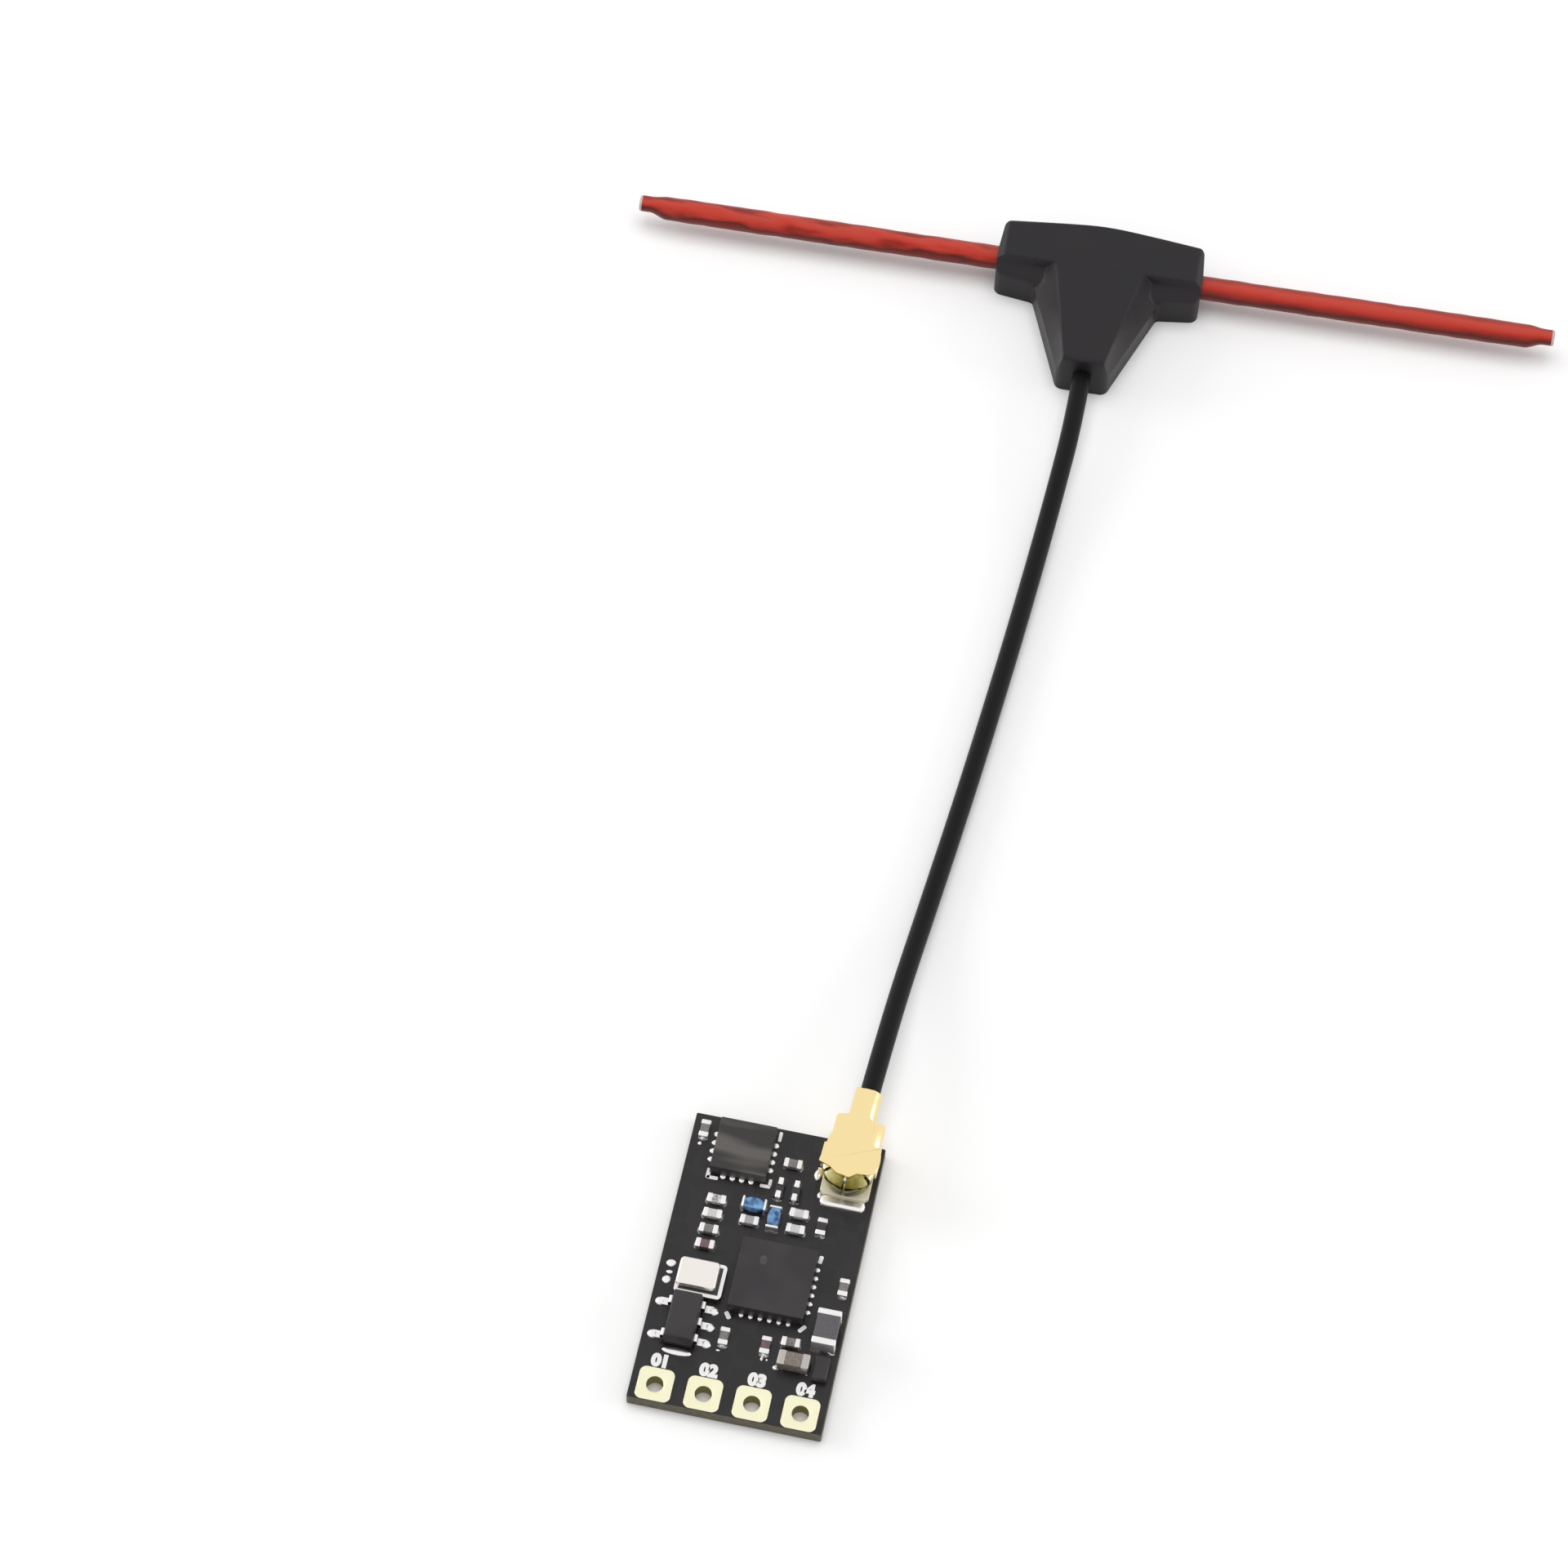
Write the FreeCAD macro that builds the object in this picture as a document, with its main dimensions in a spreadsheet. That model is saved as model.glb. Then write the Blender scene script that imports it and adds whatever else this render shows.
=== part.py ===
"""A miniature radio-control receiver: a small populated circuit board with four plated
wire holes, a push-on coaxial plug, a thin coaxial lead and a T-shaped dipole antenna.

Millimetres. The origin is the centre of the board's underside, +X runs across the board,
+Y runs along it towards the antenna lead, and +Z is up. Board and antenna lie on Z = 0.
"""
import FreeCAD, Part
import Sketcher

import math
import os
import re
from types import SimpleNamespace

Vector = FreeCAD.Vector
Rotation = FreeCAD.Rotation
Placement = FreeCAD.Placement

# Driving sizes
SIZES = {
    # circuit board
    "board_width": 10.2, "board_length": 16.8, "board_thick": 0.8,
    # plated wire holes
    "pad_size": 1.84, "pad_corner": 0.35, "pad_skin": 0.04, "pad_bore": 0.9,
    "pad_barrel": 0.05, "pad_pitch": 2.54, "pad_count": 4, "pad_inset": 0.97,
    # crystal in a ceramic case
    "crystal_length": 2.5, "crystal_width": 2.0, "crystal_height": 0.42, "crystal_round": 0.12,
    "lid_length": 2.1, "lid_width": 1.6, "lid_height": 0.36, "lid_round": 0.22,
    "lid_edge": 0.06, "crystal_x": -2.77, "crystal_y": -1.26, "lid_shift_x": -0.17,
    "lid_shift_y": 0.14,
    # square chips without legs
    "transceiver_side": 4.0, "transceiver_height": 0.8, "transceiver_pins": 6,
    "transceiver_x": 0.92, "transceiver_y": -0.56,
    "amplifier_side": 3.0, "amplifier_height": 0.75, "amplifier_pins": 4,
    "amplifier_x": -2.19, "amplifier_y": 6.57,
    "chip_edge": 0.06, "chip_dot": 0.3, "chip_dot_inset": 0.5, "chip_dot_deep": 0.04,
    "pin_pitch": 0.5, "pin_wide": 0.26, "pin_reach": 0.22, "pin_rise": 0.24,
    # voltage regulator with five bent legs
    "regulator_width": 1.6, "regulator_length": 2.78, "regulator_height": 1.1,
    "regulator_belt": 0.5, "regulator_draft": 8.0, "regulator_x": -3.15,
    "regulator_y": -3.74, "leg_pitch": 0.95, "leg_wide": 0.4, "leg_thick": 0.15,
    "leg_span": 2.8, "leg_foot": 0.42, "leg_round": 0.12,
    # small two-ended chips, three case sizes
    "small_length": 1.0, "small_width": 0.52, "small_height": 0.36, "small_band": 0.26,
    "small_step": 0.02,
    "medium_length": 1.65, "medium_width": 0.82, "medium_height": 0.8, "medium_band": 0.38,
    "medium_step": 0.02,
    "large_length": 2.0, "large_width": 1.25, "large_height": 1.15, "large_band": 0.32,
    "large_step": 0.02, "chip_bevel": 0.03,
    # wound chip inductors
    "inductor_length": 1.3, "inductor_width": 0.66, "inductor_height": 0.6,
    "inductor_band": 0.2, "inductor_step": 0.08,
    # protection diode
    "diode_length": 1.1, "diode_width": 0.8, "diode_height": 0.5, "diode_draft": 7.0,
    "diode_tab": 0.1, "diode_tab_wide": 0.5, "diode_tab_thick": 0.1,
    "diode_x": 4.35, "diode_y": -4.9,
    # solder
    "solder_reach": 0.16, "solder_rise": 0.26, "solder_neck": 0.04, "bead_rise": 0.12,
    # coaxial socket on the board
    "socket_x": 3.5, "socket_y": 6.3, "socket_side": 2.6, "socket_base": 0.35,
    "socket_chamfer": 0.2, "socket_ring": 2.0, "socket_wall": 0.15, "socket_height": 1.25,
    "socket_float": 0.2, "tab_wide": 2.2, "tab_reach": 0.6, "tab_thick": 0.16,
    "pin_across": 0.5, "pin_tall": 1.05, "pin_lead_in": 0.15, "pin_tab_wide": 0.5,
    "pin_tab_reach": 0.35,
    # push-on coaxial plug
    "plug_turn": -2.5, "plug_low": 0.42, "plug_cover": 1.67, "plug_sheet": 0.2,
    "plug_skirt": 2.5, "plug_snap": 0.02, "plug_slots": 6, "plug_slot_wide": 0.2,
    "plug_slot_tall": 0.7, "plug_ear": 1.525, "plug_ear_front": -0.28, "plug_ear_back": 1.45,
    "plug_tongue": 0.62, "plug_tongue_front": -0.78, "plug_neck": 1.2, "plug_neck_back": 2.65,
    "plug_wing_thick": 0.15, "plug_wing_deep": 0.7, "plug_wing_back": 0.9,
    "plug_wall_deep": 0.85, "plug_crimp": 1.42, "plug_mouth": 4.45, "plug_axis": 1.2,
    "plug_seam": 0.08, "contact_across": 0.86, "contact_low": 0.55, "contact_tail": 0.4,
    "contact_end": 2.2, "contact_sheet": 0.12, "contact_fit": 0.01, "insulator_end": 1.8,
    "insulator_half": 0.9, "insulator_boss": 1.56, "insulator_low": 0.8, "core_end": 2.35,
    "wire_end": 1.9,
    # coaxial lead
    "lead_across": 1.08, "lead_gap": 0.03, "lead_grip": 0.85, "braid_across": 0.84,
    "core_across": 0.7, "wire_across": 0.24,
    # antenna
    "antenna_x": 6.05, "antenna_y": 67.66, "antenna_turn": 2.2, "housing_height": 3.1,
    "bar_half": 6.05, "bar_lean": 0.15, "bar_back": 1.74, "bar_crown": 0.6,
    "bar_front": -0.93, "ledge_height": 2.4, "ledge_front": -1.45, "ledge_slope": 0.33,
    "stem_half": 3.67, "stem_wall_lean": 0.12, "stem_wall_high": 1.75, "stem_top_half": 2.7,
    "stem_end": -7.68, "stem_end_half": 1.45, "stem_end_top_half": 1.2, "stem_start": -1.2,
    "end_bevel": 0.3, "corner_back": 0.35, "corner_front": 0.5, "corner_stem": 0.5,
    "ledge_bevel": 0.42, "lead_socket": 1.5,
    "sleeve_across": 1.4, "sleeve_grip": 1.6, "sleeve_left": 27.5, "sleeve_right": 26.8,
    "sleeve_neck": 0.95, "sleeve_neck_long": 0.5, "sleeve_taper": 1.5,
    "sleeve_neck_bore": 0.4, "element_across": 0.8, "element_gap": 0.45, "joint_across": 0.84, "braid_stop": -1.2, "core_stop": -0.6,
    "wire_stop": 0.25,
}

# Where each two-ended chip stands: case, centre x, centre y, and whether it lies along Y
CHIPS = {
    "corner_capacitor": ("small", -4.45, 7.42, True),
    "filter_capacitor_1": ("small", 0.52, 6.38, False),
    "antenna_resistor_1": ("small", 0.12, 4.73, True),
    "antenna_resistor_2": ("small", 0.99, 4.73, True),
    "filter_capacitor_2": ("small", -1.03, 2.66, False),
    "filter_capacitor_3": ("small", 1.43, 3.58, False),
    "filter_capacitor_4": ("small", 1.41, 2.66, False),
    "bias_resistor": ("small", 2.72, 3.09, True),
    "side_resistor_1": ("small", -2.97, 3.5, False),
    "side_capacitor_1": ("small", -3.0, 2.63, False),
    "side_capacitor_2": ("small", -3.0, 1.72, False),
    "ferrite_bead": ("small", -3.0, 0.82, False),
    "edge_capacitor": ("small", 4.55, -0.1, True),
    "supply_capacitor_1": ("small", -0.91, -4.13, True),
    "supply_capacitor_2": ("small", 1.29, -4.17, True),
    "supply_capacitor_3": ("small", 2.53, -3.74, False),
    "supply_capacitor_4": ("medium", 2.9, -4.86, False),
    "reservoir_capacitor": ("large", 4.21, -2.86, True),
    "wound_inductor_1": ("inductor", -0.97, 3.55, False),
    "wound_inductor_2": ("inductor", 0.2, 2.98, True),
}
# Bare solder beads on the board: centre x, centre y, size along X, size along Y
BEADS = {
    "crystal_bead_1": (-4.48, -0.53, 0.46, 0.36),
    "crystal_bead_2": (-4.45, -1.05, 0.3, 0.18),
    "crystal_bead_3": (-4.52, -1.5, 0.42, 0.38),
    "regulator_bead": (-3.13, -5.42, 1.5, 0.36),
    "supply_bead": (1.74, -5.22, 0.26, 0.26),
    "corner_bead": (-4.55, 6.62, 0.22, 0.2),
    "antenna_bead": (2.22, 4.92, 0.22, 0.32),
    "test_bead_1": (-1.08, -4.87, 0.2, 0.1),
    "test_bead_2": (0.9, -4.87, 0.16, 0.24),
}

# The lead's route between its two straight ends, chosen to lie as a thin stiff lead does
LEAD_ROUTE = (
    (4.02, 18.20, 1.24),
    (4.36, 22.90, 0.62),
    (5.02, 30.80, 0.55),
    (5.62, 39.50, 0.55),
    (6.02, 46.80, 0.60),
    (6.28, 52.10, 1.05),
)
LEAD_FIRST_RUN = 3.5
LEAD_LAST_RUN = 4.5

# Every chip's place, and every bead's place and size, gets its own cells
for label, (case, x, y, along) in CHIPS.items():
    SIZES.update({label + "_x": x, label + "_y": y})
for label, (x, y, x_size, y_size) in BEADS.items():
    SIZES.update({label + "_x": x, label + "_y": y, label + "_wide": x_size,
                  label + "_long": y_size})

s = SimpleNamespace(**SIZES)
doc = FreeCAD.newDocument("receiver")
sheet = doc.addObject("Spreadsheet::Sheet", "sizes")
for row, (name, amount) in enumerate(SIZES.items(), start=1):
    sheet.set("A%d" % row, name)
    sheet.set("B%d" % row, str(amount))
    sheet.setAlias("B%d" % row, name)
doc.recompute()

# Frames of the three groups: the board's top face, the leaning plug and the antenna
UP = Vector(0, 0, 1)
WORLD = Placement()
BOARD_TOP = Placement(Vector(0, 0, s.board_thick), Rotation())
SOCKET = Placement(Vector(s.socket_x, s.socket_y, s.board_thick), Rotation())
PLUG = Placement(SOCKET.Base, Rotation(UP, s.plug_turn))
ANTENNA = Placement(Vector(s.antenna_x, s.antenna_y, 0), Rotation(UP, s.antenna_turn))
ALONG_X = Rotation(Vector(0, 1, 0), 90)
AGAINST_X = Rotation(Vector(0, 1, 0), -90)
ALONG_Y = Rotation(Vector(1, 0, 0), -90)
subparts = []


def bound(text):
    """The expression with each size's name turned into its cell."""
    return re.sub(r"[a-z][a-z_0-9]*",
                  lambda word: "sizes." + word[0] if word[0] in SIZES else word[0], str(text))


def number(text):
    """What an expression over the sizes comes to."""
    return float(sheet.evalExpression(bound(text)))


def bind(thing, **sizes):
    """Bind properties of an object to expressions over the sheet."""
    for prop, text in sizes.items():
        thing.setExpression(prop, bound(text))
    return thing


def put(thing, frame, x=0.0, y=0.0, z=0.0, turn=0.0):
    """Place an object at a point of a frame, with a turn about Z or a rotation."""
    rotation = turn if isinstance(turn, Rotation) else Rotation(UP, turn)
    thing.Placement = frame.multiply(Placement(Vector(x, y, z), rotation))
    return thing


def keep(thing, label):
    """Give a finished object its own label and list it as a sub-part."""
    thing.Label = label
    subparts.append(thing)
    return thing


def body(name, frame=WORLD, x=0.0, y=0.0, z=0.0, turn=0.0):
    """A new body, placed at a point of a frame."""
    made = doc.addObject("PartDesign::Body", name)
    made.AllowCompound = True
    return put(made, frame, x, y, z, turn)


def sketch(of_body, role, name, offset="0"):
    """A sketch on one of the body's origin planes, moved along that plane's normal."""
    made = of_body.newObject("Sketcher::SketchObject", name)
    plane = next(f for f in of_body.Origin.OriginFeatures if f.Role == role)
    made.AttachmentSupport = (plane, [""])
    made.MapMode = "FlatFace"
    made.setExpression("AttachmentOffset.Base.z", bound(offset))
    return made


def limit(drawn, kind, *what):
    """Add a sketch constraint whose value, the last entry, is an expression."""
    index = drawn.addConstraint(Sketcher.Constraint(kind, *what[:-1], number(what[-1])))
    drawn.setExpression("Constraints[%d]" % index, bound(what[-1]))


def outline(drawn, corners, bulges=None):
    """Draw closed sides through corners, each a pair of expressions, anticlockwise.

    bulges gives, for a side's number, its half length and how far it stands out as an arc.
    """
    bulges = bulges or {}
    places = [Vector(number(x), number(y), 0) for x, y in corners]
    sides = []
    for i, start in enumerate(places):
        end = places[(i + 1) % len(places)]
        edge = Part.LineSegment(start, end)
        if i in bulges:
            half = (end - start) / 2
            out = Vector(half.y, -half.x, 0).normalize() * number(bulges[i][1])
            edge = Part.Arc(start, start + half + out, end)
        side = drawn.addGeometry(edge, False)
        first = 1 if drawn.getPoint(side, 1).distanceToPoint(start) < 1e-6 else 2
        sides.append((side, first))
    for i, (side, first) in enumerate(sides):
        before, before_first = sides[i - 1]
        drawn.addConstraint(Sketcher.Constraint("Coincident", side, first, before,
                                                3 - before_first))
        limit(drawn, "DistanceX", -1, 1, side, first, corners[i][0])
        limit(drawn, "DistanceY", -1, 1, side, first, corners[i][1])
    for i, (half, out) in bulges.items():
        limit(drawn, "Radius", sides[i][0], "((%s)^2+(%s)^2)/(2*(%s))" % (half, out, out))
    return drawn


def rectangle(drawn, x_low, y_low, x_high, y_high):
    """Draw a rectangle between two corners given as expressions."""
    return outline(drawn, [(x_low, y_low), (x_high, y_low), (x_high, y_high), (x_low, y_high)])


def centred(drawn, x_size, y_size):
    """Draw a rectangle about the sketch's origin."""
    x_half, y_half = "(%s)/2" % x_size, "(%s)/2" % y_size
    return rectangle(drawn, "-" + x_half, "-" + y_half, x_half, y_half)


def circle(drawn, x, y, across):
    """Draw a circle about a point, with its diameter as an expression."""
    ring = drawn.addGeometry(Part.Circle(Vector(number(x), number(y), 0), UP,
                                         number(across) / 2), False)
    limit(drawn, "DistanceX", -1, 1, ring, 3, x)
    limit(drawn, "DistanceY", -1, 1, ring, 3, y)
    limit(drawn, "Diameter", ring, across)
    return drawn


def pad(of_body, drawn, length, down=False, middle=False, taper=None):
    """Add a sketch's extrusion to the body."""
    made = of_body.newObject("PartDesign::Pad", drawn.Name + "_pad")
    made.Profile = drawn
    made.Reversed = down
    made.SideType = "Symmetric" if middle else "One side"
    bind(made, Length=length)
    if taper:
        bind(made, TaperAngle=taper)
    return made


def pocket(of_body, drawn, length, up=False, middle=False):
    """Cut a sketch's extrusion from the body, and make sure that it cuts something."""
    doc.recompute()
    before = of_body.Tip.Shape.Volume
    made = of_body.newObject("PartDesign::Pocket", drawn.Name + "_cut")
    made.Profile = drawn
    made.Reversed = up
    made.SideType = "Symmetric" if middle else "One side"
    bind(made, Length=length)
    doc.recompute()
    if made.Shape.Volume > before - 1e-6:
        raise RuntimeError("nothing was cut by " + made.Name)
    return made


def axis(of_body, role):
    """A link to one of the body's origin axes."""
    return (next(f for f in of_body.Origin.OriginFeatures if f.Role == role), [""])


def row_of(of_body, original, role, length, count):
    """Repeat a feature in a straight row."""
    made = of_body.newObject("PartDesign::LinearPattern", original.Name + "_row")
    made.Originals = [original]
    made.Direction = axis(of_body, role)
    bind(made, Length=length, Occurrences=count)
    of_body.Tip = made
    return made


def ring_of(of_body, original, count):
    """Repeat a feature evenly about the body's Z axis."""
    made = of_body.newObject("PartDesign::PolarPattern", original.Name + "_ring")
    made.Originals = [original]
    made.Axis = axis(of_body, "Z_Axis")
    made.Angle = 360
    bind(made, Occurrences=count)
    of_body.Tip = made
    return made


def dress(of_body, kind, size, wanted):
    """Fillet or chamfer the edges of the body that pass a test."""
    doc.recompute()
    base = of_body.Tip
    chosen = ["Edge%d" % (i + 1) for i, e in enumerate(base.Shape.Edges) if wanted(e)]
    made = of_body.newObject("PartDesign::" + kind, base.Name + "_" + kind.lower())
    made.Base = (base, chosen)
    bind(made, **{"Radius" if kind == "Fillet" else "Size": size})
    doc.recompute()
    return made


def upright(edge):
    """Whether an edge is straight and runs along Z."""
    a, b = edge.Vertexes[0].Point, edge.Vertexes[-1].Point
    return edge.Length > 1e-6 and abs(abs(a.z - b.z) - edge.Length) < 1e-6


def level_at(edge, height):
    """Whether an edge lies flat at a height."""
    box = edge.BoundBox
    return abs(box.ZMin - height) < 1e-6 and abs(box.ZMax - height) < 1e-6


def rod(name, frame, across, length, x, y, z, turn):
    """A round rod that starts at a point of a frame and runs along its turned Z axis."""
    made = doc.addObject("Part::Cylinder", name)
    bind(made, Radius="(%s)/2" % across, Height=length)
    return put(made, frame, x, y, z, turn)


def block(name, frame, x_low, x_high, y_low, y_high, z_low, z_high):
    """A block between limits given as expressions."""
    made = doc.addObject("Part::Box", name)
    bind(made, Length="(%s)-(%s)" % (x_high, x_low), Width="(%s)-(%s)" % (y_high, y_low),
         Height="(%s)-(%s)" % (z_high, z_low))
    return put(made, frame, number(x_low), number(y_low), number(z_low))


def joined(name, things):
    """One solid made of several."""
    made = doc.addObject("Part::MultiFuse", name)
    made.Shapes = things
    made.Refine = True
    return made


def group(name, things):
    """Separate solids listed as one."""
    made = doc.addObject("Part::Compound", name)
    made.Links = things
    return made


def cut(name, base, tool):
    """A solid less another."""
    made = doc.addObject("Part::Cut", name)
    made.Base = base
    made.Tool = tool
    return made


def make_board():
    """The bare board: a plate with the wire holes and the back rings' shallow seats."""
    made = body("circuit_board")
    pad(made, centred(sketch(made, "XY_Plane", "board_plan"), "board_width", "board_length"),
        "board_thick")
    first = "-pad_pitch*(pad_count-1)/2"
    row = "-board_length/2+pad_inset"
    span = "pad_pitch*(pad_count-1)"
    hole = circle(sketch(made, "XY_Plane", "wire_hole"), first, row, "pad_bore+2*pad_barrel")
    row_of(made, pocket(made, hole, "board_thick", up=True), "X_Axis", span, "pad_count")
    seat = rectangle(sketch(made, "XY_Plane", "back_ring"),
                     "%s-pad_size/2" % first, "%s-pad_size/2" % row,
                     "%s+pad_size/2" % first, "%s+pad_size/2" % row)
    row_of(made, pocket(made, seat, "pad_skin", up=True), "X_Axis", span, "pad_count")
    keep(made, "circuit_board")


def make_pads():
    """A plated wire hole each: a square land on both faces joined by a barrel."""
    for i in range(int(s.pad_count)):
        x = (i - (s.pad_count - 1) / 2) * s.pad_pitch
        made = body("board_pad_%d" % (i + 1), x=x, y=s.pad_inset - s.board_length / 2)
        for name, offset in (("land_back", "0"), ("land_top", "board_thick")):
            land = sketch(made, "XY_Plane", "%s_%d" % (name, i + 1), offset)
            pad(made, centred(land, "pad_size", "pad_size"), "pad_skin")
        barrel = circle(sketch(made, "XY_Plane", "barrel_%d" % (i + 1)), "0", "0",
                        "pad_bore+2*pad_barrel")
        pad(made, barrel, "board_thick")
        bore = circle(sketch(made, "XY_Plane", "bore_%d" % (i + 1)), "0", "0", "pad_bore")
        pocket(made, bore, "board_thick+pad_skin", up=True)
        dress(made, "Fillet", "pad_corner",
              lambda e: upright(e) and e.BoundBox.ZMin > s.board_thick - 1e-6)
        keep(made, "board_pad_%d" % (i + 1))


def make_crystal():
    """A frequency crystal: a low ceramic case and a metal lid welded on, a little off centre."""
    case = body("crystal_case", BOARD_TOP, s.crystal_x, s.crystal_y)
    plan = centred(sketch(case, "XY_Plane", "case_plan"), "crystal_length", "crystal_width")
    pad(case, plan, "crystal_height")
    dress(case, "Fillet", "crystal_round", upright)
    keep(case, "crystal_case")
    lid = body("crystal_lid", BOARD_TOP, s.crystal_x + s.lid_shift_x,
               s.crystal_y + s.lid_shift_y, s.crystal_height)
    plan = centred(sketch(lid, "XY_Plane", "lid_plan"), "lid_length", "lid_width")
    pad(lid, plan, "lid_height")
    dress(lid, "Fillet", "lid_round", upright)
    dress(lid, "Chamfer", "lid_edge", lambda e: level_at(e, s.lid_height))
    keep(lid, "crystal_lid")


def make_square_chip(kind):
    """A moulded square chip without legs, and the solder that shows all round it."""
    side, height, pins = kind + "_side", kind + "_height", kind + "_pins"
    x, y = number(kind + "_x"), number(kind + "_y")
    chip = body(kind + "_chip", BOARD_TOP, x, y)
    pad(chip, centred(sketch(chip, "XY_Plane", kind + "_plan"), side, side), height)
    dress(chip, "Chamfer", "chip_edge", lambda e: level_at(e, number(height)))
    dot = circle(sketch(chip, "XY_Plane", kind + "_dot", height),
                 "-%s/2+chip_dot_inset" % side, "%s/2-chip_dot_inset" % side, "chip_dot")
    pocket(chip, dot, "chip_dot_deep")
    keep(chip, kind + "_chip")
    beads = []
    count = int(number(pins))
    for turn in (0, 90, 180, 270):
        for i in range(count):
            along = (i - (count - 1) / 2) * s.pin_pitch
            bead = wedge("%s_pin_%d_%d" % (kind, turn, i), "pin_reach", "pin_wide", "pin_rise")
            spot = Rotation(UP, turn).multVec(Vector(number(side) / 2, along, 0))
            put(bead, BOARD_TOP, x + spot.x, y + spot.y, 0, upended(turn))
            beads.append(bead)
    keep(group(kind + "_solder", beads), kind + "_solder")


def wedge(name, reach, wide, rise):
    """A solder fillet: from its foot, reach long, it rises against a wall at its start."""
    made = doc.addObject("Part::Wedge", name)
    return bind(made, Xmin=0, Xmax=reach, Zmin="-(%s)/2" % wide, Zmax="(%s)/2" % wide, Ymin=0,
                Ymax=rise, X2min=0, X2max="solder_neck", Z2min="-(%s)*0.36" % wide,
                Z2max="(%s)*0.36" % wide)


def upended(turn):
    """The rotation that stands a wedge up on the board and turns it about Z."""
    return Rotation(UP, turn).multiply(Rotation(Vector(1, 0, 0), 90))


def end_fillets(name, frame, length, width, height):
    """The two solder fillets at the ends of a chip, in the chip's own frame."""
    made = []
    for turn in (0, 180):
        bead = wedge("%s_fillet_%d" % (name, turn), "solder_reach", "%s*0.9" % width,
                     "min(solder_rise; %s*0.8)" % height)
        spot = Rotation(UP, turn).multVec(Vector(number(length) / 2, 0, 0))
        made.append(put(bead, frame, spot.x, spot.y, 0, upended(turn)))
    return made


def make_end_capped(name, case, along):
    """A chip with two metal end caps that stand a step proud of the part between them."""
    length, width, height, band, step = (
        case + end for end in ("_length", "_width", "_height", "_band", "_step"))
    turn = 90 if along else 0
    chip = body(name, BOARD_TOP, number(name + "_x"), number(name + "_y"), 0, turn)
    core = centred(sketch(chip, "XY_Plane", name + "_core"), "%s-2*%s" % (length, band),
                   "%s-2*%s" % (width, step))
    pad(chip, core, "%s-%s" % (height, step))
    tip, root = "%s/2" % length, "(%s/2-%s)" % (length, band)
    for end, low, high in (("left", "-" + tip, "-" + root), ("right", root, tip)):
        cap = sketch(chip, "XY_Plane", "%s_%s" % (name, end))
        pad(chip, rectangle(cap, low, "-%s/2" % width, high, "%s/2" % width), height)
    half = number(length) / 2
    top = number(height)
    dress(chip, "Chamfer", "chip_bevel",
          lambda e: (upright(e) and abs(abs(e.BoundBox.XMin) - half) < 1e-6)
          or (level_at(e, top) and (abs(abs(e.BoundBox.XMin) - half) < 1e-6
                                    or abs(abs(e.BoundBox.XMax) - half) < 1e-6)))
    keep(chip, name)
    return end_fillets(name, chip.Placement, length, width, height)


def make_chips():
    """All two-ended chips, and one group of the solder at their ends."""
    solder = []
    for name, (case, x, y, along) in CHIPS.items():
        solder += make_end_capped(name, case, along)
    keep(group("chip_solder", solder), "chip_solder")


def make_beads():
    """The bare solder beads on unused lands and test points."""
    beads = []
    for name in BEADS:
        bead = doc.addObject("Part::Wedge", name)
        wide, deep = name + "_wide", name + "_long"
        bind(bead, Xmin="-%s/2" % wide, Xmax="%s/2" % wide, Zmin="-%s/2" % deep,
             Zmax="%s/2" % deep, X2min="-%s/4" % wide, X2max="%s/4" % wide,
             Z2min="-%s/4" % deep, Z2max="%s/4" % deep, Ymin=0, Ymax="bead_rise")
        beads.append(put(bead, BOARD_TOP, number(name + "_x"), number(name + "_y"), 0,
                         upended(0)))
    keep(group("solder_beads", beads), "solder_beads")


def make_regulator():
    """A voltage regulator: a drafted moulding with two legs on one side, three on the other."""
    case = body("regulator_case", BOARD_TOP, s.regulator_x, s.regulator_y)
    for name, down, length in (("case_up", False, "regulator_height-regulator_belt"),
                               ("case_down", True, "regulator_belt")):
        plan = sketch(case, "XY_Plane", name, "regulator_belt")
        pad(case, centred(plan, "regulator_width", "regulator_length"), length, down,
            taper="-regulator_draft")
    keep(case, "regulator_case")
    legs = body("regulator_legs", BOARD_TOP, s.regulator_x, s.regulator_y)
    for name, side, row, span, count in (("right", 1, "leg_pitch", "2*leg_pitch", "3"),
                                         ("left", -1, "leg_pitch", "2*leg_pitch", "2")):
        profile = sketch(legs, "XZ_Plane", "leg_" + name, row)
        mirror = "" if side > 0 else "-"
        root, knee, toe = ("%s(%s)" % (mirror, text) for text in (
            "regulator_width/2", "leg_span/2-leg_foot", "leg_span/2"))
        shin = "%s(leg_span/2-leg_foot-leg_thick)" % mirror
        low, high = "regulator_belt-leg_thick/2", "regulator_belt+leg_thick/2"
        corners = [(root, low), (shin, low), (shin, "0"), (toe, "0"), (toe, "leg_thick"),
                   (knee, "leg_thick"), (knee, high), (root, high)]
        leg = pad(legs, outline(profile, corners), "leg_wide", middle=True)
        row_of(legs, leg, "Y_Axis", span, count)
    bends = (s.leg_span / 2 - s.leg_foot, s.leg_span / 2 - s.leg_foot - s.leg_thick)

    def outer_bend(edge):
        box = edge.BoundBox
        across = abs(box.YMax - box.YMin - s.leg_wide) < 1e-6
        top = abs(abs(box.XMin) - bends[0]) < 1e-6 and box.ZMin > s.leg_thick + 1e-6
        foot = abs(abs(box.XMin) - bends[1]) < 1e-6 and box.ZMax < 1e-6
        return across and (top or foot)
    dress(legs, "Fillet", "leg_round", outer_bend)
    keep(legs, "regulator_legs")


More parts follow.
